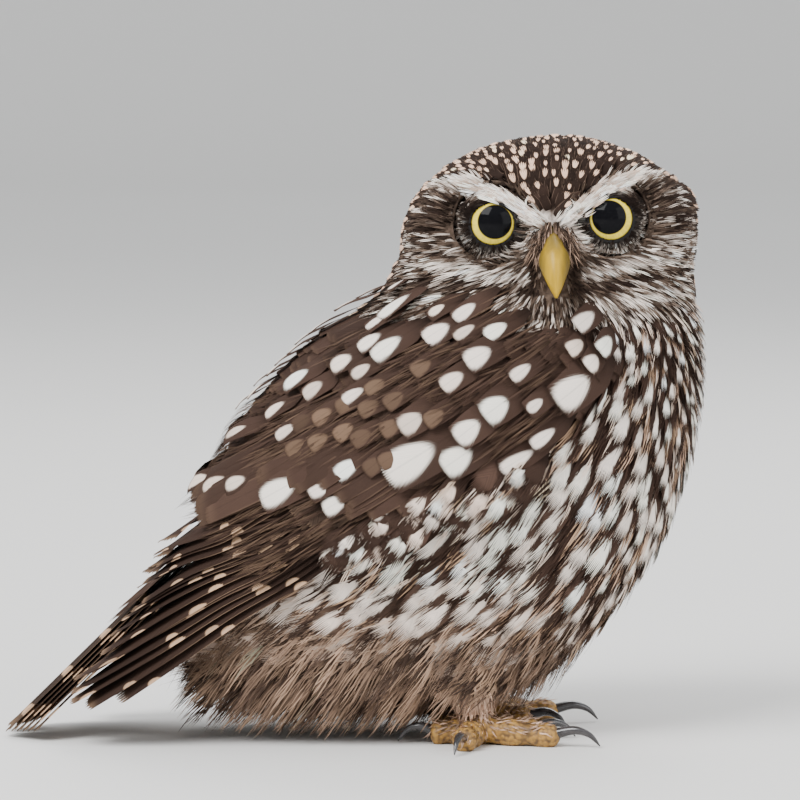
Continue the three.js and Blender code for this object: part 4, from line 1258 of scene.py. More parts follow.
class OWL_OT_back(bpy.types.Operator):
    """Feathers of the shoulders, back and upper wing, dark brown"""

    bl_idname = "owl.back"
    bl_label = "Back and shoulder feathers"

    def execute(self, context):
        sizes, colours, rng = start(2)
        surface = SKIN["surface"]
        long = sizes.mantle_length / MM
        coat = Coat()

        def keep(points):
            return (head_share(points) < 0.5) & (back_share(points) > 0.5) & (leg_share(points) < 0.1)

        def covered(at, normal):
            """Where a feather's tip still lies over the back, not past the wing's low edge."""
            return back_share(at + flow(at, normal) * long) > 0.2

        # overlapping feathers
        at, normal = surface.spread(14000, lambda q: mix(2.2, 3.3, smooth(wing_place(q)[0], 0, 40)), keep, rng)
        stay = covered(at, normal)
        at, normal = at[stay], normal[stay]
        along, up = wing_place(at)
        n = len(at)
        neck = 1 - smooth(along - 0.3 * up, -10, 25)
        length = long * mix(1.0, 0.62, neck) * rng.uniform(0.9, 1.1, n)
        width = length * rng.uniform(0.23, 0.29, n)
        way = turned(flow(at, normal), normal, rng.normal(0, 0.07, n))
        rise = mix(sizes.body_depth / MM + 0.6, 2.2, pad_share(at))
        rise = np.minimum(rise, 0.26 * length) * rng.uniform(0.9, 1.1, n)
        scalloped = (smooth(along, 26, 38) * (1 - smooth(along, 62, 74)) * smooth(up, -2, 4)
                     * (1 - smooth(up, 14, 20)))[:, None]
        tone = varied(mix(colours.wing_brown, colours.grey, 0.30 * scalloped), rng)
        pale = varied(mix(colours.wing_brown, colours.buff, 0.22 + 0.45 * scalloped), rng)
        coat.add(vanes(4, 10, 12, 4, 0.88, ragged=0.10), over_skin(surface, at, normal, way, length, rise), width,
                 tone, body_unwrap(at), rng, pale=pale, grain=30.0, edge=0.35, loose=0.05)

        # loose barbs between the white spots
        at, normal = surface.spread(12000, lambda q: np.full(len(q), 1.7), keep, rng)
        stay = between_spots(*wing_place(at + flow(at, normal) * (0.5 * long))) & covered(at, normal)
        at, normal = at[stay], normal[stay]
        n = len(at)
        length = 0.85 * long * rng.uniform(0.7, 1.1, n)
        way = turned(flow(at, normal), normal, rng.normal(0, 0.10, n))
        path = over_skin(surface, at, normal, way, length, rng.uniform(2.0, 3.4, n))
        tone = varied(mix(colours.wing_brown, colours.buff, rng.uniform(0, 0.4, (n, 1)) ** 2), rng)
        coat.add(locks(4, 15, 2, 4, wave=0.3), path, rng.uniform(0.15, 0.28, n), tone, body_unwrap(at), rng,
                 grain=6.0, loose=0.2)
        coat.build("back_feathers", feather_finish("owl_back", shaft=0.25, ragged=0.5), "wing_feathers")
        return {"FINISHED"}


def belly_share(points):
    """1 on the belly, 0 on the breast."""
    t, angle = TORSO.locate(points[:, 0], points[:, 2])
    return smooth(t + 0.12 * np.cos(angle), 0.52, 0.78)


def young(points):
    """The size of the feathers, small at the throat and the front."""
    t, angle = TORSO.locate(points[:, 0], points[:, 2])
    return mix(0.45, 1.0, smooth(t, 0.02, 0.40)) * mix(1.0, 0.78, smooth(np.cos(angle), 0.5, 1))


class OWL_OT_breast(bpy.types.Operator):
    """Loose feathers of the throat, breast, flanks and belly, brown with white drops"""

    bl_idname = "owl.breast"
    bl_label = "Breast and belly feathers"

    # Kinds of feathers: how far apart their roots are, how many places are tried and how long they are,
    # first on the breast and then on the belly
    KINDS = (
        ("plain", ((2.1, 14000, 1.0), (2.1, 14000, 1.0))),
        ("drop", ((4.9, 9000, 1.0), (6.8, 9000, 1.0))),
        ("hair", ((2.6, 30000, 0.8), (1.5, 30000, 1.05))),
    )
    SHAPES = {
        "plain": locks(5, 40, 6, 4, wave=0.10), "drop": vanes(4, 20, 16, 3, 0.66, ragged=0.30, spread=0.06),
        "hair": locks(6, 50, 3, 5, wave=0.35), "hanging": locks(6, 55, 5, 6, wave=0.5),
    }

    @staticmethod
    def drop_spot(n, along, width, length, rng):
        """The white drop of each feather, at its own width and length."""
        return np.stack([np.zeros(n), along, rng.uniform(*width, n), rng.uniform(*length, n)], -1)

    def add_flank(self, coat, side, n, is_hair, colours, rng):
        """Loose flank feathers that lie over the low edge of the folded wing."""
        along = rng.uniform(18, 64, n)
        up = pad_edges(along)[0] + 3.5 * smooth(along, 14, 40) + rng.uniform(-4, 2, n)
        length = rng.uniform(11, 16, n)
        tip = np.stack([along + 0.85 * length, up - rng.uniform(0.05, 0.45, n) * length], -1)
        lift = (0.2, rng.uniform(3.2, 4.6, n))
        path = wing_stations(side, np.stack([along, up], -1), tip, lift, True, count=4)
        brown = varied(colours.breast_brown, rng, 0.22, n)
        if is_hair:
            tone = mix(brown, mix(colours.buff, colours.white, rng.random((n, 1))), rng.random((n, 1)) < 0.3)
            coat.add(locks(4, 58, 3, 5, wave=0.35), path, 0.6, tone, body_unwrap(path[0][0]), rng, grain=24.0,
                     loose=0.2)
            return
        pale = varied(mix(colours.white, colours.cream, rng.uniform(0, 0.5, (n, 1))), rng, 0.15)
        marked = np.where(rng.random(n) < 0.45, 0.70, SPOT_OFF[1])
        spot = self.drop_spot(n, marked, (0.55, 0.85), (0.22, 0.34), rng)
        coat.add(vanes(4, 24, 14, 3, 0.66, ragged=0.30, spread=0.06), path, 0.19 * length, brown,
                 body_unwrap(path[0][0]), rng, pale=pale, spot=spot, grain=24.0, loose=0.14)

    def add(self, coat, kind, at, normal, size, sizes, colours, rng):
        """Feathers of one kind at places on the skin."""
        n = len(at)
        belly = belly_share(at)
        share = belly[:, None]
        length = sizes.breast_length / MM * size * young(at) * rng.uniform(0.85, 1.15, n)
        way = turned(flow(at, normal), normal, rng.normal(0, 0.10 + 0.08 * belly, n))
        rise = sizes.body_depth / MM * rng.uniform(0.85, 1.2, n) + 0.6 * belly
        brown = varied(mix(colours.breast_brown, colours.grey, 0.22 * share), rng, 0.26)
        soft = mix(colours.buff, colours.cream, rng.random((n, 1)) * (1 - 0.4 * share))
        soft = varied(soft * (1 - 0.45 * share), rng, 0.18)
        spot, pale = SPOT_OFF, None
        if kind == "drop":
            rise += 0.6
            width = length * 0.185
            tone = mix(brown, soft, 0.2 * share)
            pale = varied(mix(colours.white, colours.cream, 0.62 * share) * (1 - 0.44 * share), rng, 0.12)
            spot = self.drop_spot(n, np.full(n, 0.68), (0.55, 0.85), (0.30, 0.42), rng)
        elif kind == "plain":
            width = length * 0.15
            light = (rng.random(n) < mix(0.16, 0.5, belly))[:, None]
            tone = mix(brown, soft, 0.85 * light)
        elif kind == "hair":
            width = 0.5
            rise += rng.uniform(0.2, 1.2, n)
            light = (rng.random(n) < mix(0.36, 0.45, belly))[:, None]
            tone = mix(brown, mix(soft, colours.white, 0.5 * (1 - share)), light)
        else:
            width = rng.uniform(0.8, 1.5, n)
            down = varied(mix(colours.cream, colours.buff, 0.45), rng, 0.2, n) * 0.62
            tone = mix(brown, down, rng.choice([0.0, 0.4, 0.95], (n, 1), p=[0.28, 0.32, 0.40]))
        stations, normals = over_skin(SKIN["surface"], at, normal, way, length, rise)
        if kind == "hanging":
            stations, normals = self.hung(at, normal, way, length, stations, rng)
        coat.add(self.SHAPES[kind], (stations, normals), width, tone, body_unwrap(at), rng, pale=pale, spot=spot,
                 grain=24.0, loose=0.14)

    @staticmethod
    def hung(at, normal, way, length, stations, rng):
        """Lets the low tufts of the belly leave the skin and hang, clear of the floor."""
        free = smooth(-at[:, 2], -44, -24)[:, None]
        way = unit(mix(way, np.array([-0.62, 0, -1.0]) + 0.25 * normal, 0.25 + 0.55 * free))
        most = (at[:, 2] - 1.6) / np.maximum(0.2, -way[:, 2])
        length = np.maximum(2, np.minimum(most, rng.uniform(0.55, 1.15, len(at)) * length))[:, None]
        middle = at + way * length * 0.5 + normal * 1.4
        loose = np.stack([at - normal * 0.5, middle, at + way * length + normal * 0.5])
        return mix(stations, loose, mix(0.3, 1.0, free)), np.stack([normal] * 3)

    def execute(self, context):
        sizes, colours, rng = start(3)
        for is_belly, name in enumerate(("breast_feathers", "belly_feathers")):

            def keep(points):
                front = (head_share(points) < 0.5) & (back_share(points) < 0.5) & (leg_share(points) < 0.3)
                return front & ((belly_share(points) >= 0.5) == is_belly)

            coat = Coat()
            for kind, choices in self.KINDS:
                gap, tries, size = choices[is_belly]
                at, normal = SKIN["surface"].spread(tries, lambda q: gap * mix(0.25, 1.0, young(q)), keep, rng)
                self.add(coat, kind, at, normal, size, sizes, colours, rng)
            if is_belly:
                at, normal = SKIN["surface"].spread(9000, lambda q: mix(1.7, 2.8, smooth(q[:, 2], 20, 44)),
                                                      lambda q: keep(q) & (q[:, 2] < 46), rng)
                low = normal[:, 2] < 0.25
                self.add(coat, "hanging", at[low], normal[low], 1.0, sizes, colours, rng)
            else:
                for side in SIDES.values():
                    for n, is_hair in ((70, False), (150, True)):
                        self.add_flank(coat, side, n, is_hair, colours, rng)
            coat.build(name, feather_finish("owl_" + name, ragged=0.8, contrast=0.4), "breast_plumage")
        return {"FINISHED"}


PRIMARY_REACH = (134, 142, 143, 139, 133, 127, 121)     # where the primaries end, along the wing
PRIMARIES = 9
SECONDARIES = 7
EDGE_FEATHERS = 4           # short stiff feathers along the wing's low edge
SHINGLE_TILT = math.radians(33)
BARBS = 1700                # loose barbs that soften the edges of a wing's coverts
# Tiers of large coverts: low root, high root, count, first and last length, width, lift
COVERT_TIERS = (
    ((62, 13), (58, 23), 7, (27, 29), 3.2, 3.2),
    ((43, -3), (40, 16), 12, (13, 31), 3.0, 2.6),
)


def wing_stations(side, root, tip, lift, on_pad, bend=0.0, count=6):
    """Stations of feathers over the wing, from root (n, 2) to tip (n, 2), rising from lift[0] to lift[1]."""
    root, tip = np.asarray(root, float), np.asarray(tip, float)
    s = np.linspace(0, 1, count)[:, None]
    along = mix(root[:, 0], tip[:, 0], s)
    up = mix(root[:, 1], tip[:, 1], s) + bend * np.sin(math.pi * s)
    pad = pad_lift(along, up) if on_pad else 0.0
    return wing_over(along, up, side, pad + mix(lift[0], np.asarray(lift[1]), np.minimum(1, 1.4 * s)))


class OWL_OT_wings(bpy.types.Operator):
    """The folded wings: flight feathers laid like shingles, large coverts and white-spotted feathers"""

    bl_idname = "owl.wings"
    bl_label = "Wings"

    def build_flight(self, label, side, colours, rng):
        """The primaries and secondaries, and the stiff feathers of the low edge."""
        coat, sheet = Coat(), Sheet(21, (0.045, 0.24), (0.040, 0.23))
        count = PRIMARIES + SECONDARIES
        i = np.arange(count)
        whole = i / (count - 1)
        s = np.where(i < PRIMARIES, i / (PRIMARIES - 1), (i - PRIMARIES) / (SECONDARIES - 1))
        root = np.stack([58 - 8 * whole, mix(-4.5, 15, whole)], -1)
        reach = np.interp(s, np.linspace(0, 1, len(PRIMARY_REACH)), PRIMARY_REACH)
        tip = np.where((i < PRIMARIES)[:, None], np.stack([reach, mix(-3, 5, s)], -1),
                       np.stack([mix(118, 104, s), mix(6.2, 12, s)], -1))
        tip += rng.normal(0, 0.5, (count, 2))
        path = wing_stations(side, root, tip, (2.4, 3.2 + 3.6 * whole), False, 0.5, count=9)
        tone = varied(0.7 * colours.wing_brown, rng, 0.14, count)
        pale = varied(colours.buff, rng, 0.1, count)
        spot = np.stack([np.full(count, 0.95), np.full(count, 0.5), rng.uniform(0.30, 0.42, count),
                         rng.uniform(0.06, 0.11, count)], -1)
        shapes = vanes(2, 60, 12, 26, 0.95, ragged=0.05, root=0.5)
        coat.add(shapes, path, 4.6, tone, sheet.take(count), rng, pale=pale, spot=spot, grain=90.0, edge=0.34,
                 tilt=-side * SHINGLE_TILT, loose=-side * 0.06, cup=0.10, patch=sheet.patch)

        sheet.end_row()
        k = np.arange(EDGE_FEATHERS)
        root = np.stack([8 + 6 * k, -8.2 + 1.1 * k], -1)
        tip = root + np.stack([np.full(EDGE_FEATHERS, 23.0), np.linspace(0.8, 2.0, EDGE_FEATHERS)], -1)
        path = wing_stations(side, root, tip, (1.6, 2.4 + 0.3 * k), False, count=9)
        coat.add(shapes, path, 2.6, colours.wing_brown, sheet.take(EDGE_FEATHERS), rng, pale=colours.buff,
                 grain=40.0, edge=0.4, tilt=-side * 0.3, patch=sheet.patch)
        finish = feather_finish(f"owl_flight_{label}", repeats=3.6, shaft=0.5, ragged=0.5, slope=0.10, rim=0.94,
                                jumble=0.6)
        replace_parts(coat.build(f"flight_feathers_{label}", finish, "wing_feathers"), f"wing_{label}")

    def add_tiers(self, add, side, colours, rng):
        """Large plain coverts over the roots of the flight feathers."""
        for low, high, n, length, width, lift in COVERT_TIERS:
            share = np.linspace(0, 1, n)
            root = mix(np.array(low), np.array(high), share[:, None]) + rng.normal(0, 0.6, (n, 2))
            ahead = mix(*length, share) + rng.normal(0, 2.0, n)
            tip = root + np.stack([ahead, rng.normal(0, 0.5, n) - 1.5 * (root[:, 1] > 18)], -1)
            path = wing_stations(side, root, tip, (-0.9, lift + rng.uniform(0, 0.3, n)), True)
            add(path, width, varied(colours.wing_brown, rng, 0.12, n), 0.22,
                pale=mix(colours.wing_brown, colours.buff, 0.35), grain=60.0, edge=0.30)

    def add_spotted(self, add, side, colours, rng):
        """The feathers with the large white spots."""
        along, up, long, wide = np.array(WING_SPOTS, float).T
        n = len(along)
        if side > 0:                # the wings' spots don't mirror each other down the back
            along = along + 5 * smooth(up, 22, 34) + rng.normal(0, 0.8, n)
        ahead = 1 - smooth(along, -2, 9)
        length = np.maximum(11.0, 2.1 * long) * rng.uniform(0.95, 1.05, n) * (1 - 0.30 * ahead)
        width = np.maximum(2.7, 0.72 * wide)
        tip = np.stack([along + 0.25 * length, up + rng.normal(0, 0.4, n)], -1)
        root = np.stack([along - 0.75 * length, up + 0.9 * smooth(up, 8, 30) + rng.normal(0, 0.4, n)], -1)
        beyond = smooth(along, 60, 80)
        _, high = pad_edges(along)
        lift = mix(3.0 + beyond, 1.9 + 2 * beyond, smooth(up, high - 2, high + 4))
        spot = np.stack([np.zeros(n), np.full(n, 0.75), 0.5 * wide / width, 0.5 * long / length], -1)
        tone = varied(colours.wing_brown, rng, 0.10, n)
        dull = rng.uniform(0, 0.45, (n, 1)) * (long < 6)[:, None]
        pale = varied(mix(colours.white, colours.buff, dull), rng, 0.08)
        add(wing_stations(side, root, tip, (-0.5 - 2.2 * ahead, lift), True), width, tone, 0.10, pale=pale,
            spot=spot, grain=66.0)

    def add_scalloped(self, add, side, colours, rng):
        """The dull feathers in the middle of the wing."""
        along, up = np.array(DULL_SPOTS, float).T
        n = len(along)
        tip = np.stack([along + 3.4, up + rng.normal(0, 0.5, n)], -1)
        root = np.stack([along - 8, up + 0.5], -1)
        path = wing_stations(side, root, tip, (-0.5, rng.uniform(2.7, 3.0, n)), True)
        tone = varied(colours.wing_brown, rng, 0.10, n)
        pale = varied(mix(colours.wing_brown, colours.buff, rng.uniform(0.08, 0.28, (n, 1))), rng, 0.1)
        add(path, 2.3, tone, 0.08, pale=pale, spot=(0.0, 0.78, 0.86, 0.22), grain=40.0)

    def add_barbs(self, coat, side, colours, rng):
        """Loose barbs between the white spots."""
        along = rng.uniform(2, 86, BARBS)
        low, high = pad_edges(along)
        up = mix(low + 4, high + 12, rng.random(BARBS))
        clear = between_spots(along + 5, up)
        along, up, n = along[clear], up[clear], int(clear.sum())
        tip = np.stack([along + rng.uniform(6, 13, n), up + rng.normal(0, 0.8, n)], -1)
        lift = (0.8, rng.uniform(2.6, 3.7, n))
        path = wing_stations(side, np.stack([along, up], -1), tip, lift, True, count=3)
        tone = varied(mix(colours.wing_brown, colours.buff, rng.uniform(0, 0.45, (n, 1)) ** 2), rng)
        coat.add(locks(4, 75, 2, 4, wave=0.3), path, rng.uniform(0.13, 0.26, n), tone, body_unwrap(path[0][0]),
                 rng, grain=6.0, loose=0.2)

    def execute(self, context):
        shapes = vanes(3, 70, 18, 8, 0.92, ragged=0.12)
        for label, side in SIDES.items():
            _, colours, rng = start(4)
            self.build_flight(label, side, colours, rng)
            coat, sheet = Coat(), Sheet(16, (0.06, 0.09), (0.055, 0.085))

            def add(path, width, tone, tilt, **looks):
                coat.add(shapes, path, width, tone, sheet.take(path[0].shape[1]), rng, tilt=-side * tilt,
                         patch=sheet.patch, **looks)

            self.add_tiers(add, side, colours, rng)
            self.add_spotted(add, side, colours, rng)
            self.add_scalloped(add, side, colours, rng)
            self.add_barbs(coat, side, colours, rng)
            coat.build(f"covert_feathers_{label}", feather_finish(
                f"owl_coverts_{label}", shaft=0.2, ragged=0.85, slope=0.5), "wing_feathers")
        return {"FINISHED"}


class OWL_OT_tail(bpy.types.Operator):
    """Twelve barred tail feathers and the coverts over and under them"""

    bl_idname = "owl.tail"
    bl_label = "Tail"

    PAIRS = 6           # of tail feathers, the middle one on top
    COVERTS = 22        # every second one under the tail

    def execute(self, context):
        _, colours, rng = start(6)
        long = np.linalg.norm(TAIL_TIP - TAIL_ROOT)
        ahead = unit(TAIL_TIP - TAIL_ROOT)
        over = unit(np.array([ahead[2], 0, -ahead[0]]))
        aside = np.array([0.0, 1.0, 0.0])
        coat, sheet = Coat(), Sheet(14, (0.07, 0.24), (0.065, 0.23))

        def add(shapes, root, tip, width, tone, **looks):
            """Feathers from root to tip, given along the tail, aside and over it."""
            way = mix(root, tip, np.linspace(0, 1, 6)[:, None, None])
            at = TAIL_ROOT + way[..., :1] * ahead + way[..., 1:2] * aside + way[..., 2:] * over
            coat.add(shapes, (at, np.broadcast_to(over, at.shape)), width, tone, sheet.take(len(root)), rng,
                     patch=sheet.patch, **looks)

        n = 2 * self.PAIRS
        pair = np.repeat(np.arange(self.PAIRS), 2)
        side = np.tile([-1.0, 1.0], self.PAIRS)
        depth = -0.8 - 0.85 * pair
        root = np.stack([np.full(n, 6.0), side * (3 + 0.5 * pair), depth], -1)
        tip = np.stack([long - 1.1 * pair, side * (4.6 + 1.35 * pair), depth], -1)
        tone = varied(colours.tail_brown, rng, 0.08, n)
        pale = varied(colours.buff, rng, 0.08, n)
        add(vanes(2, 80, 12, 22, 0.93, ragged=0.06, root=0.5), root, tip, 4.5, tone, pale=pale,
            spot=(0.7, 0.5, 0.75, 0.14), grain=60.0, edge=0.25, tilt=-0.05 * side)

        n = self.COVERTS
        ring = rng.uniform(-1, 1, n)
        under = np.arange(n) % 2 == 0
        root = np.stack([rng.uniform(-3, 6, n), 5.0 * ring, np.where(under, -5.8, -0.6)], -1)
        tip = np.stack([rng.uniform(22, 36, n), 8.0 * ring, np.where(under, -7.6, 0.5)], -1)
        under = under[:, None]
        tone = np.where(under, colours.cream, colours.wing_brown)
        pale = np.where(under, colours.white, mix(colours.wing_brown, colours.buff, 0.6))
        add(vanes(3, 90, 10, 6, 0.7, ragged=0.25), root, tip, 3.6, varied(tone, rng), pale=pale, grain=24.0,
            edge=0.3)
        finish = feather_finish("owl_tail", repeats=5, shaft=0.5, ragged=0.30, slope=0.16)
        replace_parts(coat.build("tail_feathers", finish, "tail_feathers"), "tail")
        return {"FINISHED"}


class OWL_OT_legs(bpy.types.Operator):
    """Short pale bristles of the shanks and the tops of the toes"""

    bl_idname = "owl.legs"
    bl_label = "Leg feathers"

    def execute(self, context):
        sizes, colours, rng = start(7)
        coat = Coat()
        toes = Surface(bpy.data.objects["feet"].data)
        down = np.array([0.0, 0.0, -1.0])

        def on_toes(points):
            return (points[:, 2] > 3.4) & (foot_reach(points) < 17)

        # where, how far apart, how large and how far the feathers turn outwards from straight down
        for surface, keep, gap, size, outwards in (
            (SKIN["surface"], lambda q: leg_share(q) > 0.25, 0.8, 1.1, 0.25),
            (toes, on_toes, 1.05, 0.8, 0.85),
        ):
            at, normal = surface.spread(9000, lambda q: np.full(len(q), gap), keep, rng)
            n = len(at)
            foot = np.where(at[:, 1] < 0, -1, 1) * FOOT_Y
            out = np.stack([at[:, 0] - FOOT_X, at[:, 1] - foot, np.zeros(n)], -1)
            way = tangent(unit(mix(down, unit(out + 1e-6), outwards)), normal)
            way = turned(way, normal, rng.normal(0, 0.22, n))
            length = sizes.leg_length / MM * size * rng.uniform(0.75, 1.25, n)
            path = over_skin(surface, at, normal, way, length, rng.uniform(0.5, 1.3, n) * size, 0.2)
            tone = mix(colours.cream, colours.grey, rng.uniform(0, 0.8, (n, 1)))
            coat.add(locks(3, 30, 2, 3), path, 0.34 * size, varied(tone, rng), body_unwrap(at), rng, pale=tone,
                     loose=0.4)
        coat.build("leg_feathers", feather_finish("owl_legs", slope=0.0, contrast=0.3), "leg_plumage")
        return {"FINISHED"}


# ---------------------------------------------------------------- eyes, bill and feet


def eye_axis(side, inwards=0.0, upwards=0.0):
    """The way an eye or its lid faces, turned a little towards the bill and up."""
    facing = head_point(side * (0.04 - inwards), -1, upwards) - head_point(0, 0, 0)
    return Vector(facing).normalized()


def faced(side, inwards=0.0, upwards=0.0):
    """Turns +Z to the way an eye faces and moves it to the eye's centre, in the shared frame."""
    centre = Vector(to_frame(head_point(side * EYE_SPREAD, -EYE_DEPTH, EYE_Z)))
    turn = Vector((0, 0, 1)).rotation_difference(eye_axis(side, inwards, upwards))
    return Matrix.Translation(centre) @ turn.to_matrix().to_4x4()


PUPIL_BLACK = (0.004, 0.004, 0.005)
IRIS_EDGE_BLACK = (0.008, 0.007, 0.007)
IRIS_INNER = (0.30, 0.22, 0.03)
IRIS_OUTER = (0.20, 0.15, 0.02)
LID_OPENING = math.asin(4.9 / EYE_RADIUS)
# The lid's section: its distance from the eye's centre, and its angle past the edge of the opening
LID_PROFILE = ((8.06, 0.02), (8.18, 0), (8.36, 0.02), (8.44, 0.06), (8.40, 0.12), (8.22, 0.18), (8.06, 0.18))
BEHIND = 9.0        # stands for the distance from the axis on the back of the eye


def eye_finish(parts):
    f = Finish("owl_eye", {"Roughness": 0.04, "Specular IOR Level": 0.07})
    off = f.attribute("off_axis")
    fibre = f.noise(9.0, 4.0, place=f.attribute("turn", "Vector"))
    iris, pupil = parts.iris_radius / MM, parts.pupil_radius / MM
    yellow = f.blend(f.ramp(fibre, 0.3, 0.7), tuple(0.80 * c for c in parts.iris_yellow), parts.iris_yellow)
    yellow = f.blend(f.ramp(off, pupil, pupil + 0.22), IRIS_INNER, yellow)
    out = f.attribute("off_lid")
    yellow = f.blend(f.ramp(out, iris - 0.45, iris), yellow, IRIS_OUTER)
    yellow = f.blend(f.ramp(out, iris - 0.10, iris + 0.05), yellow, IRIS_EDGE_BLACK)
    return f.colour(f.blend(f.ramp(off, pupil - 0.06, pupil + 0.06), PUPIL_BLACK, yellow))


def lid_finish(parts):
    f = Finish("owl_lid", {"Roughness": 0.6, "Specular IOR Level": 0.12})
    f.bump(f.noise(2600.0, 3.0), 0.4, 0.0001)
    return f.colour(f.blend(f.noise(700.0), parts.lid_black, tuple(3 * c for c in parts.lid_black)))


def spun(bm, line, steps, join):
    """Turns a line of vertices and its edges once round the Z axis."""
    edges = [bm.edges.new(pair) for pair in line]
    verts = [v for v in bm.verts]
    bmesh.ops.spin(bm, geom=verts + edges, cent=(0, 0, 0), axis=(0, 0, 1), angle=2 * math.pi, steps=steps,
                   use_merge=True)
    bmesh.ops.remove_doubles(bm, verts=bm.verts, dist=join)
    bmesh.ops.recalc_face_normals(bm, faces=bm.faces)


class OWL_OT_eyes(bpy.types.Operator):
    """Clear yellow eyes with wide pupils, and bare black lids round them"""

    bl_idname = "owl.eyes"
    bl_label = "Eyes and lids"

    def build_eye(self, label, side, material):
        bm = bmesh.new()
        ball = bmesh.ops.create_uvsphere(bm, u_segments=72, v_segments=64, radius=EYE_RADIUS * MM)["verts"]
        for v in ball:          # the clear front of the eye stands out a little
            height = (v.co / MM).z
            if height > 6.2:
                v.co.z += 0.22 * MM * float(smooth(np.array(height), 6.2, EYE_RADIUS))
        off = [math.hypot(v.co.x, v.co.y) / MM if v.co.z > 0 else BEHIND for v in ball]
        angles = [math.atan2(v.co.y, v.co.x) for v in ball]
        turn = [part for a, r in zip(angles, off) for part in (math.cos(a), math.sin(a), 0.1 * r)]
        bmesh.ops.transform(bm, matrix=faced(side, 0.07, 0.05), verts=ball)
        axis, centre = eye_axis(side), faced(side).translation
        away = [v.co - centre for v in ball]
        off_lid = [(w - axis * w.dot(axis)).length / MM if w.dot(axis) > 0 else BEHIND for w in away]
        eye = from_bmesh(f"eye_ball_{label}", bm, material)
        add_attribute(eye.data, "off_axis", off)
        add_attribute(eye.data, "off_lid", off_lid)
        eye.data.attributes.new("turn", "FLOAT_VECTOR", "POINT").data.foreach_set("vector", turn)
        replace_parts(eye, f"eye_{label}")

    def build_lid(self, label, side, material):
        bm = bmesh.new()
        line = [bm.verts.new((r * MM * math.sin(LID_OPENING + a), 0, r * MM * math.cos(LID_OPENING + a)))
                for r, a in LID_PROFILE]
        spun(bm, zip(line, line[1:] + line[:1]), 64, 1e-7)
        bmesh.ops.transform(bm, matrix=faced(side), verts=bm.verts)
        middle = Vector(head_point(0, 0, 0))
        corner = (Vector(head_point(side * 1.0, 0, 0.42)) - middle).normalized()
        brow = (Vector(head_point(-side * 0.45, 0, 1.0)) - middle).normalized()
        centre, facing = faced(side).translation, eye_axis(side)
        for v in bm.verts:      # the dark corner of the lid, and the brow that presses on its inner half
            flat = v.co - centre
            reach = flat.length
            flat -= facing * flat.dot(facing)
            towards = max(0.0, flat.normalized().dot(corner)) ** 14
            outwards = float(smooth(np.array(flat.length / MM), 5.2, 6.0))
            v.co += flat.normalized() * (0.5 * MM * towards * outwards)
            droop = max(0.0, flat.normalized().dot(brow)) ** 3
            v.co -= flat.normalized() * (0.85 * MM * droop)
            v.co = centre + (v.co - centre).normalized() * (reach + 0.1 * MM * droop)
        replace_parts(from_bmesh(f"lid_ring_{label}", bm, material), f"eyelid_{label}")

    def execute(self, context):
        parts = context.scene.owl_hard_parts
        iris, lid = eye_finish(parts), lid_finish(parts)
        for label, side in SIDES.items():
            self.build_eye(label, side, iris)
            self.build_lid(label, side, lid)
        return {"FINISHED"}


def bill_finish(parts):
    f = Finish("owl_bill", {"Roughness": 0.42, "Specular IOR Level": 0.3})
    place = f.node("SeparateXYZ", {0: f.place()})
    stretched = f.node("Mapping", {0: f.place(), 3: (1, 1, 0.18)}).outputs[0]
    grain = f.noise(600.0, 4.0, place=stretched)
    tip, top = (float(to_frame(head_point(0, -36, z))[2]) for z in (BILL_TIP_Z, BILL_TOP_Z))
    base = f.ramp(place.outputs[2], mix(tip, top, 0.52), top)
    middle = float(to_frame(head_point(0, 0, 112))[0])
    # painted shade: the bill's sides turn dark olive away from its middle line; the olive towards the base is the
    # bill's own colour
    aside = f.ramp(f.math("ABSOLUTE", f.math("SUBTRACT", place.outputs[0], middle)), 0.0008, 0.0032)
    olive = f.math("MAXIMUM", f.math("MULTIPLY", base, 0.80), f.math("MULTIPLY", aside, 0.85))
    colour = f.blend(olive, parts.bill_yellow, parts.bill_olive_and_side_shade)
    colour = f.scaled(colour, f.ramp(grain, 0.2, 0.8, 0.78, 1.12))
    f.bump(grain, 0.25, 0.00015)
    return f.colour(colour)


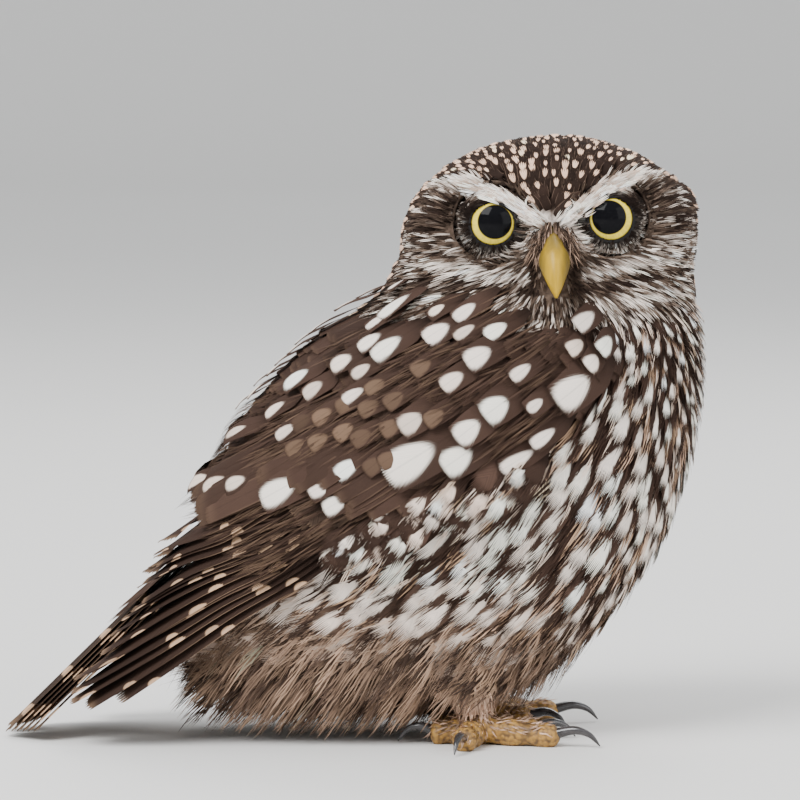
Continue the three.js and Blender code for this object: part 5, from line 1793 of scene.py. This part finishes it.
class OWL_OT_bill(bpy.types.Operator):
    """The hooked yellow bill, its lower half and its nostrils"""

    bl_idname = "owl.bill"
    bl_label = "Bill"

    # Side views of both halves, on the head before it is turned
    HOOK = ((0, -24.5, BILL_TOP_Z - 1.5), (0, -29, BILL_TOP_Z - 3.2), (0, -33.2, 113.6), (0, -36, 109.3),
            (0, -36.6, BILL_TIP_Z))
    HOOK_WIDTHS = (1.2, 2.4, BILL_HALF_WIDTH + 0.4, 2.1, 0.3)
    UNDER = ((0, -23, 110.4), (0, -29, 109.6), (0, -33.6, 107))
    NOSTRIL = (2.7, -31.2, 116.9)
    NOSTRIL_SIZE = 0.75

    def hook_rings(self, rings=30, corners=40):
        """Rings round the upper half, with a dent for each nostril."""
        path = np.array(self.HOOK)
        share = np.linspace(0, 1, rings)
        middle = spline(path, share)
        ahead = unit(spline(path, np.minimum(1, share + 0.01)) - spline(path, np.maximum(0, share - 0.01)))
        over = unit(np.stack([np.zeros(rings), ahead[:, 2], -ahead[:, 1]], -1))
        half = spline(np.array(self.HOOK_WIDTHS), share)
        deep = 0.65 + 0.3 * share + np.interp(share, (0, 0.5, 1), (1.6, 2.2, 0.2))
        turn = np.linspace(0, 2 * math.pi, corners, endpoint=False)
        lift = np.where(np.sin(turn) > 0, 1.35, 0.8) * np.sin(turn)
        flank = np.cos(turn) * (1 - 0.3 * np.maximum(0, np.sin(turn)) ** 2)
        points = (middle[:, None] + half[:, None, None] * flank[None, :, None] * np.array([1.0, 0, 0])
                  + (deep[:, None] * lift)[..., None] * over[:, None])
        x, y, z = self.NOSTRIL
        for side in (-1, 1):
            off = np.linalg.norm(points - (side * x, y, z), axis=-1)
            points -= np.array([side * 0.9, 0.5, 0]) * np.exp(-((off / self.NOSTRIL_SIZE) ** 2))[..., None]
        return points

    def under_rings(self, rings=18, corners=32):
        """Rings round the lower half, which follows one curve."""
        a, b, c = np.array(self.UNDER)
        share = np.linspace(0, 1, rings)[:, None]
        middle = (1 - share) ** 2 * a + 2 * share * (1 - share) * b + share**2 * c
        half = mix(2.5, 0.6, share**1.5)
        turn = np.linspace(0, 2 * math.pi, corners, endpoint=False)
        return np.stack([half * np.cos(turn), middle[:, 1:2] + 0 * turn,
                         middle[:, 2:] + 0.5 * (half + 0.4) * np.sin(turn)], -1)

    def execute(self, context):
        horn = bill_finish(context.scene.owl_hard_parts)
        for name, node, rings in (("bill_hook", "bill_upper", self.hook_rings()),
                                  ("bill_under", "bill_lower", self.under_rings())):
            bm = bmesh.new()
            loft(bm, rotated(HEAD_PLACE, rings.reshape(-1, 3)).reshape(rings.shape))
            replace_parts(from_bmesh(name, bm, horn), node)
        return {"FINISHED"}


# Each toe: its direction in degrees, its length and its claw's length
TOES = {
    "right": {"hallux": (176, 11, 7.5), "inner": (22, 16, 9), "middle": (-15, 20, 9.5), "outer": (-104, 14.5, 8)},
    "left": {"hallux": (-168, 11, 7.5), "inner": (-30, 16, 9), "middle": (6, 20, 9.5), "outer": (98, 14.5, 8)},
}


ANKLE_RADIUS = 4.2
ANKLE_HEIGHT = 3.7
FEET_VOXEL = 0.4


def toe_finish(parts):
    f = Finish("owl_toe", {"Roughness": 0.55, "Specular IOR Level": 0.4, "Subsurface Weight": 0.05,
                           "Subsurface Scale": 0.001})
    scales = f.node("TexVoronoi", {"Scale": 1150.0, "Vector": f.place()}, feature="SMOOTH_F1").outputs["Distance"]
    patches = f.noise(260.0, 3.0)
    colour = f.blend(f.ramp(scales, 0.25, 0.75), parts.toe_yellow, parts.toe_brown)
    colour = f.blend(f.ramp(patches, 0.42, 0.70, 0.0, 0.75), colour, parts.toe_brown)
    f.bump(scales, 0.9, -0.0003)
    return f.colour(colour)


def claw_finish(parts):
    f = Finish("owl_claw", {"Roughness": 0.22, "Specular IOR Level": 0.55, "Coat Weight": 0.4,
                            "Coat Roughness": 0.15})
    lines = f.noise(420.0, 3.0)
    f.bump(lines, 0.2, 0.0001)
    return f.colour(f.blend(f.ramp(lines, 0.3, 0.7), tuple(0.35 * c for c in parts.claw_grey), parts.claw_grey))


class OWL_OT_feet(bpy.types.Operator):
    """Scaly toes with swollen joints, and curved claws"""

    bl_idname = "owl.feet"
    bl_label = "Feet and claws"

    def toe_radii(self, rings=15):
        """From the ankle to the rounded end, with two swollen joints between."""
        share = np.linspace(0, 1, rings)
        joints = 0.34 * np.cos(2 * math.pi * 2.5 * share)
        end = np.sqrt(np.maximum(0.12, 1 - (np.maximum(0, share - 0.86) / 0.15) ** 2))
        return (mix(3.3, 2.55, share) + joints) * end

    def execute(self, context):
        parts = context.scene.owl_hard_parts
        toe_skin, horn = toe_finish(parts), claw_finish(parts)
        feet = bmesh.new()
        for label, side in SIDES.items():
            ankle = np.array([FOOT_X, side * FOOT_Y, 0.0])
            ball = bmesh.ops.create_icosphere(feet, subdivisions=4, radius=ANKLE_RADIUS * MM)["verts"]
            bmesh.ops.translate(feet, verts=ball, vec=Vector(to_frame(ankle + (0, 0, ANKLE_HEIGHT))))
            for name, (angle, length, claw) in TOES[label].items():
                turn = math.radians(angle)
                way = np.array([math.cos(turn), math.sin(turn), 0.0])

                def line(*places):
                    """Places at a reach from the ankle, along the toe, and at a height."""
                    return [ankle + way * reach + (0, 0, height) for reach, height in places]

                toe = line((0, 3.4), (length * 0.35, 2.95), (length * 0.7, 2.6), (length, 2.35))
                tube(feet, toe, self.toe_radii(), 20, steps=28)
                hook = bmesh.new()
                curve = line((length - 1.6, 2.9), (length + claw * 0.35, 4.0), (length + claw * 0.74, 3.0),
                             (length + claw, 0.5))
                tube(hook, curve, [1.3, 1.1, 0.85, 0.55, 0.14], 20, steps=26)
                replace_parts(from_bmesh(f"claw_{label}_{name}_horn", hook, horn), f"claw_{label}_{name}")
        feet = evened(feet, FEET_VOXEL)
        relax(feet, 3)
        for v in feet.verts:
            v.co.z = max(v.co.z, 0.0)
        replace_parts(from_bmesh("feet", feet, toe_skin), "foot_left", "foot_right")
        return {"FINISHED"}


# ---------------------------------------------------------------- stage

FRAME_MIDDLE = (-16.45, 0.0, 78.96)     # what the middle of the picture shows
PICTURE_WIDTH = 188.0                   # at the owl's distance
SENSOR_WIDTH = 36.0
# The floor, in metres: a disc, a round bend and the backdrop's upper edge
FLOOR_REACH = 2.4
FLOOR_BEND = 0.9
BACKDROP_HEIGHT = 1.9
LAMP_TARGET = (0.0, 0.0, 0.08)
SKY_COLOUR = (0.93, 0.96, 1.0, 1.0)


class OWL_OT_stage(bpy.types.Operator):
    """A pale floor and backdrop, soft lights and the camera"""

    bl_idname = "owl.stage"
    bl_label = "Stage"

    def build_floor(self, colour):
        f = Finish("owl_floor", {"Roughness": 0.9, "Specular IOR Level": 0.2})
        f.bump(f.noise(180.0, 4.0), 0.1, 0.0003)
        paper = f.colour(f.blend(f.noise(2.0), colour, tuple(0.96 * c for c in colour)))
        bm = bmesh.new()
        line = [bm.verts.new((0, 0, 0))]
        for a in np.linspace(0, math.pi / 2, 13):
            across, up = FLOOR_BEND * math.sin(a), FLOOR_BEND - FLOOR_BEND * math.cos(a)
            line.append(bm.verts.new((FLOOR_REACH + across, 0, up)))
        line.append(bm.verts.new((FLOOR_REACH + FLOOR_BEND, 0, BACKDROP_HEIGHT)))
        spun(bm, zip(line, line[1:]), 96, 1e-5)
        if sum(face.normal.z for face in bm.faces) < 0:
            bmesh.ops.reverse_faces(bm, faces=bm.faces)
        mesh = bpy.data.meshes.new("floor")
        bm.to_mesh(mesh)
        bm.free()
        mesh.shade_smooth()
        mesh.materials.append(paper)
        floor = bpy.data.objects.new("floor", mesh)
        bpy.context.scene.collection.objects.link(floor)

    def build_lights(self, scene, settings):
        for name, place, size, power in (
            ("key", (-0.55, -0.75, 1.05), 0.75, settings.key_power),
            ("fill", (0.95, -0.7, 0.45), 0.9, settings.fill_power),
            ("rim", (0.25, 0.7, 0.85), 0.6, settings.fill_power),
        ):
            light = bpy.data.lights.new(name, "AREA")
            light.energy, light.size = power, size
            lamp = bpy.data.objects.new(name, light)
            lamp.location = place
            lamp.rotation_euler = (Vector(LAMP_TARGET) - Vector(place)).to_track_quat("-Z", "Y").to_euler()
            scene.collection.objects.link(lamp)
        world = bpy.data.worlds.new("even_light")
        world.use_nodes = True
        sky = world.node_tree.nodes["Background"]
        sky.inputs["Color"].default_value = SKY_COLOUR
        sky.inputs["Strength"].default_value = settings.sky
        scene.world = world

    def execute(self, context):
        settings = context.scene.owl_stage
        self.build_floor(settings.floor_colour)
        self.build_lights(context.scene, settings)
        data = bpy.data.cameras.new("camera")
        data.lens, data.sensor_width = settings.lens, SENSOR_WIDTH
        camera = bpy.data.objects.new("camera", data)
        reach = PICTURE_WIDTH * MM * settings.lens / SENSOR_WIDTH
        target = Vector(to_frame(FRAME_MIDDLE))
        down = settings.elevation
        camera.location = target + reach * Vector((0, -math.cos(down), math.sin(down)))
        camera.rotation_euler = (math.pi / 2 - down, 0, 0)
        context.scene.collection.objects.link(camera)
        context.scene.camera = camera
        return {"FINISHED"}


# ---------------------------------------------------------------- the add-on

OPERATORS = (
    OWL_OT_stage, OWL_OT_skin, OWL_OT_crown, OWL_OT_face, OWL_OT_back, OWL_OT_breast, OWL_OT_wings, OWL_OT_tail,
    OWL_OT_eyes, OWL_OT_bill, OWL_OT_feet, OWL_OT_legs,
)
SETTINGS = (("owl_plumage", OwlPlumage), ("owl_hard_parts", OwlHardParts), ("owl_stage", OwlStage))


class OWL_PT_panel(bpy.types.Panel):
    """Lists the owl's settings and the buttons that build its pieces"""

    bl_idname = "OWL_PT_panel"
    bl_label = "Little Owl"
    bl_space_type = "VIEW_3D"
    bl_region_type = "UI"
    bl_category = "Little Owl"

    def draw(self, context):
        for name, group in SETTINGS:
            box = self.layout.box()
            for label in group.__annotations__:
                box.prop(getattr(context.scene, name), label)
        for operator in OPERATORS:
            self.layout.operator(operator.bl_idname)


def register():
    for _, group in SETTINGS:
        bpy.utils.register_class(group)
    for name, group in SETTINGS:
        setattr(bpy.types.Scene, name, PointerProperty(type=group))
    for cls in (*OPERATORS, OWL_PT_panel):
        bpy.utils.register_class(cls)


def unregister():
    for cls in (OWL_PT_panel, *reversed(OPERATORS)):
        bpy.utils.unregister_class(cls)
    for name, group in reversed(SETTINGS):
        delattr(bpy.types.Scene, name)
        bpy.utils.unregister_class(group)


def main():
    register()
    for operator in OPERATORS:
        family, name = operator.bl_idname.split(".")
        getattr(getattr(bpy.ops, family), name)()
    bpy.context.view_layer.update()


if __name__ == "__main__":
    main()
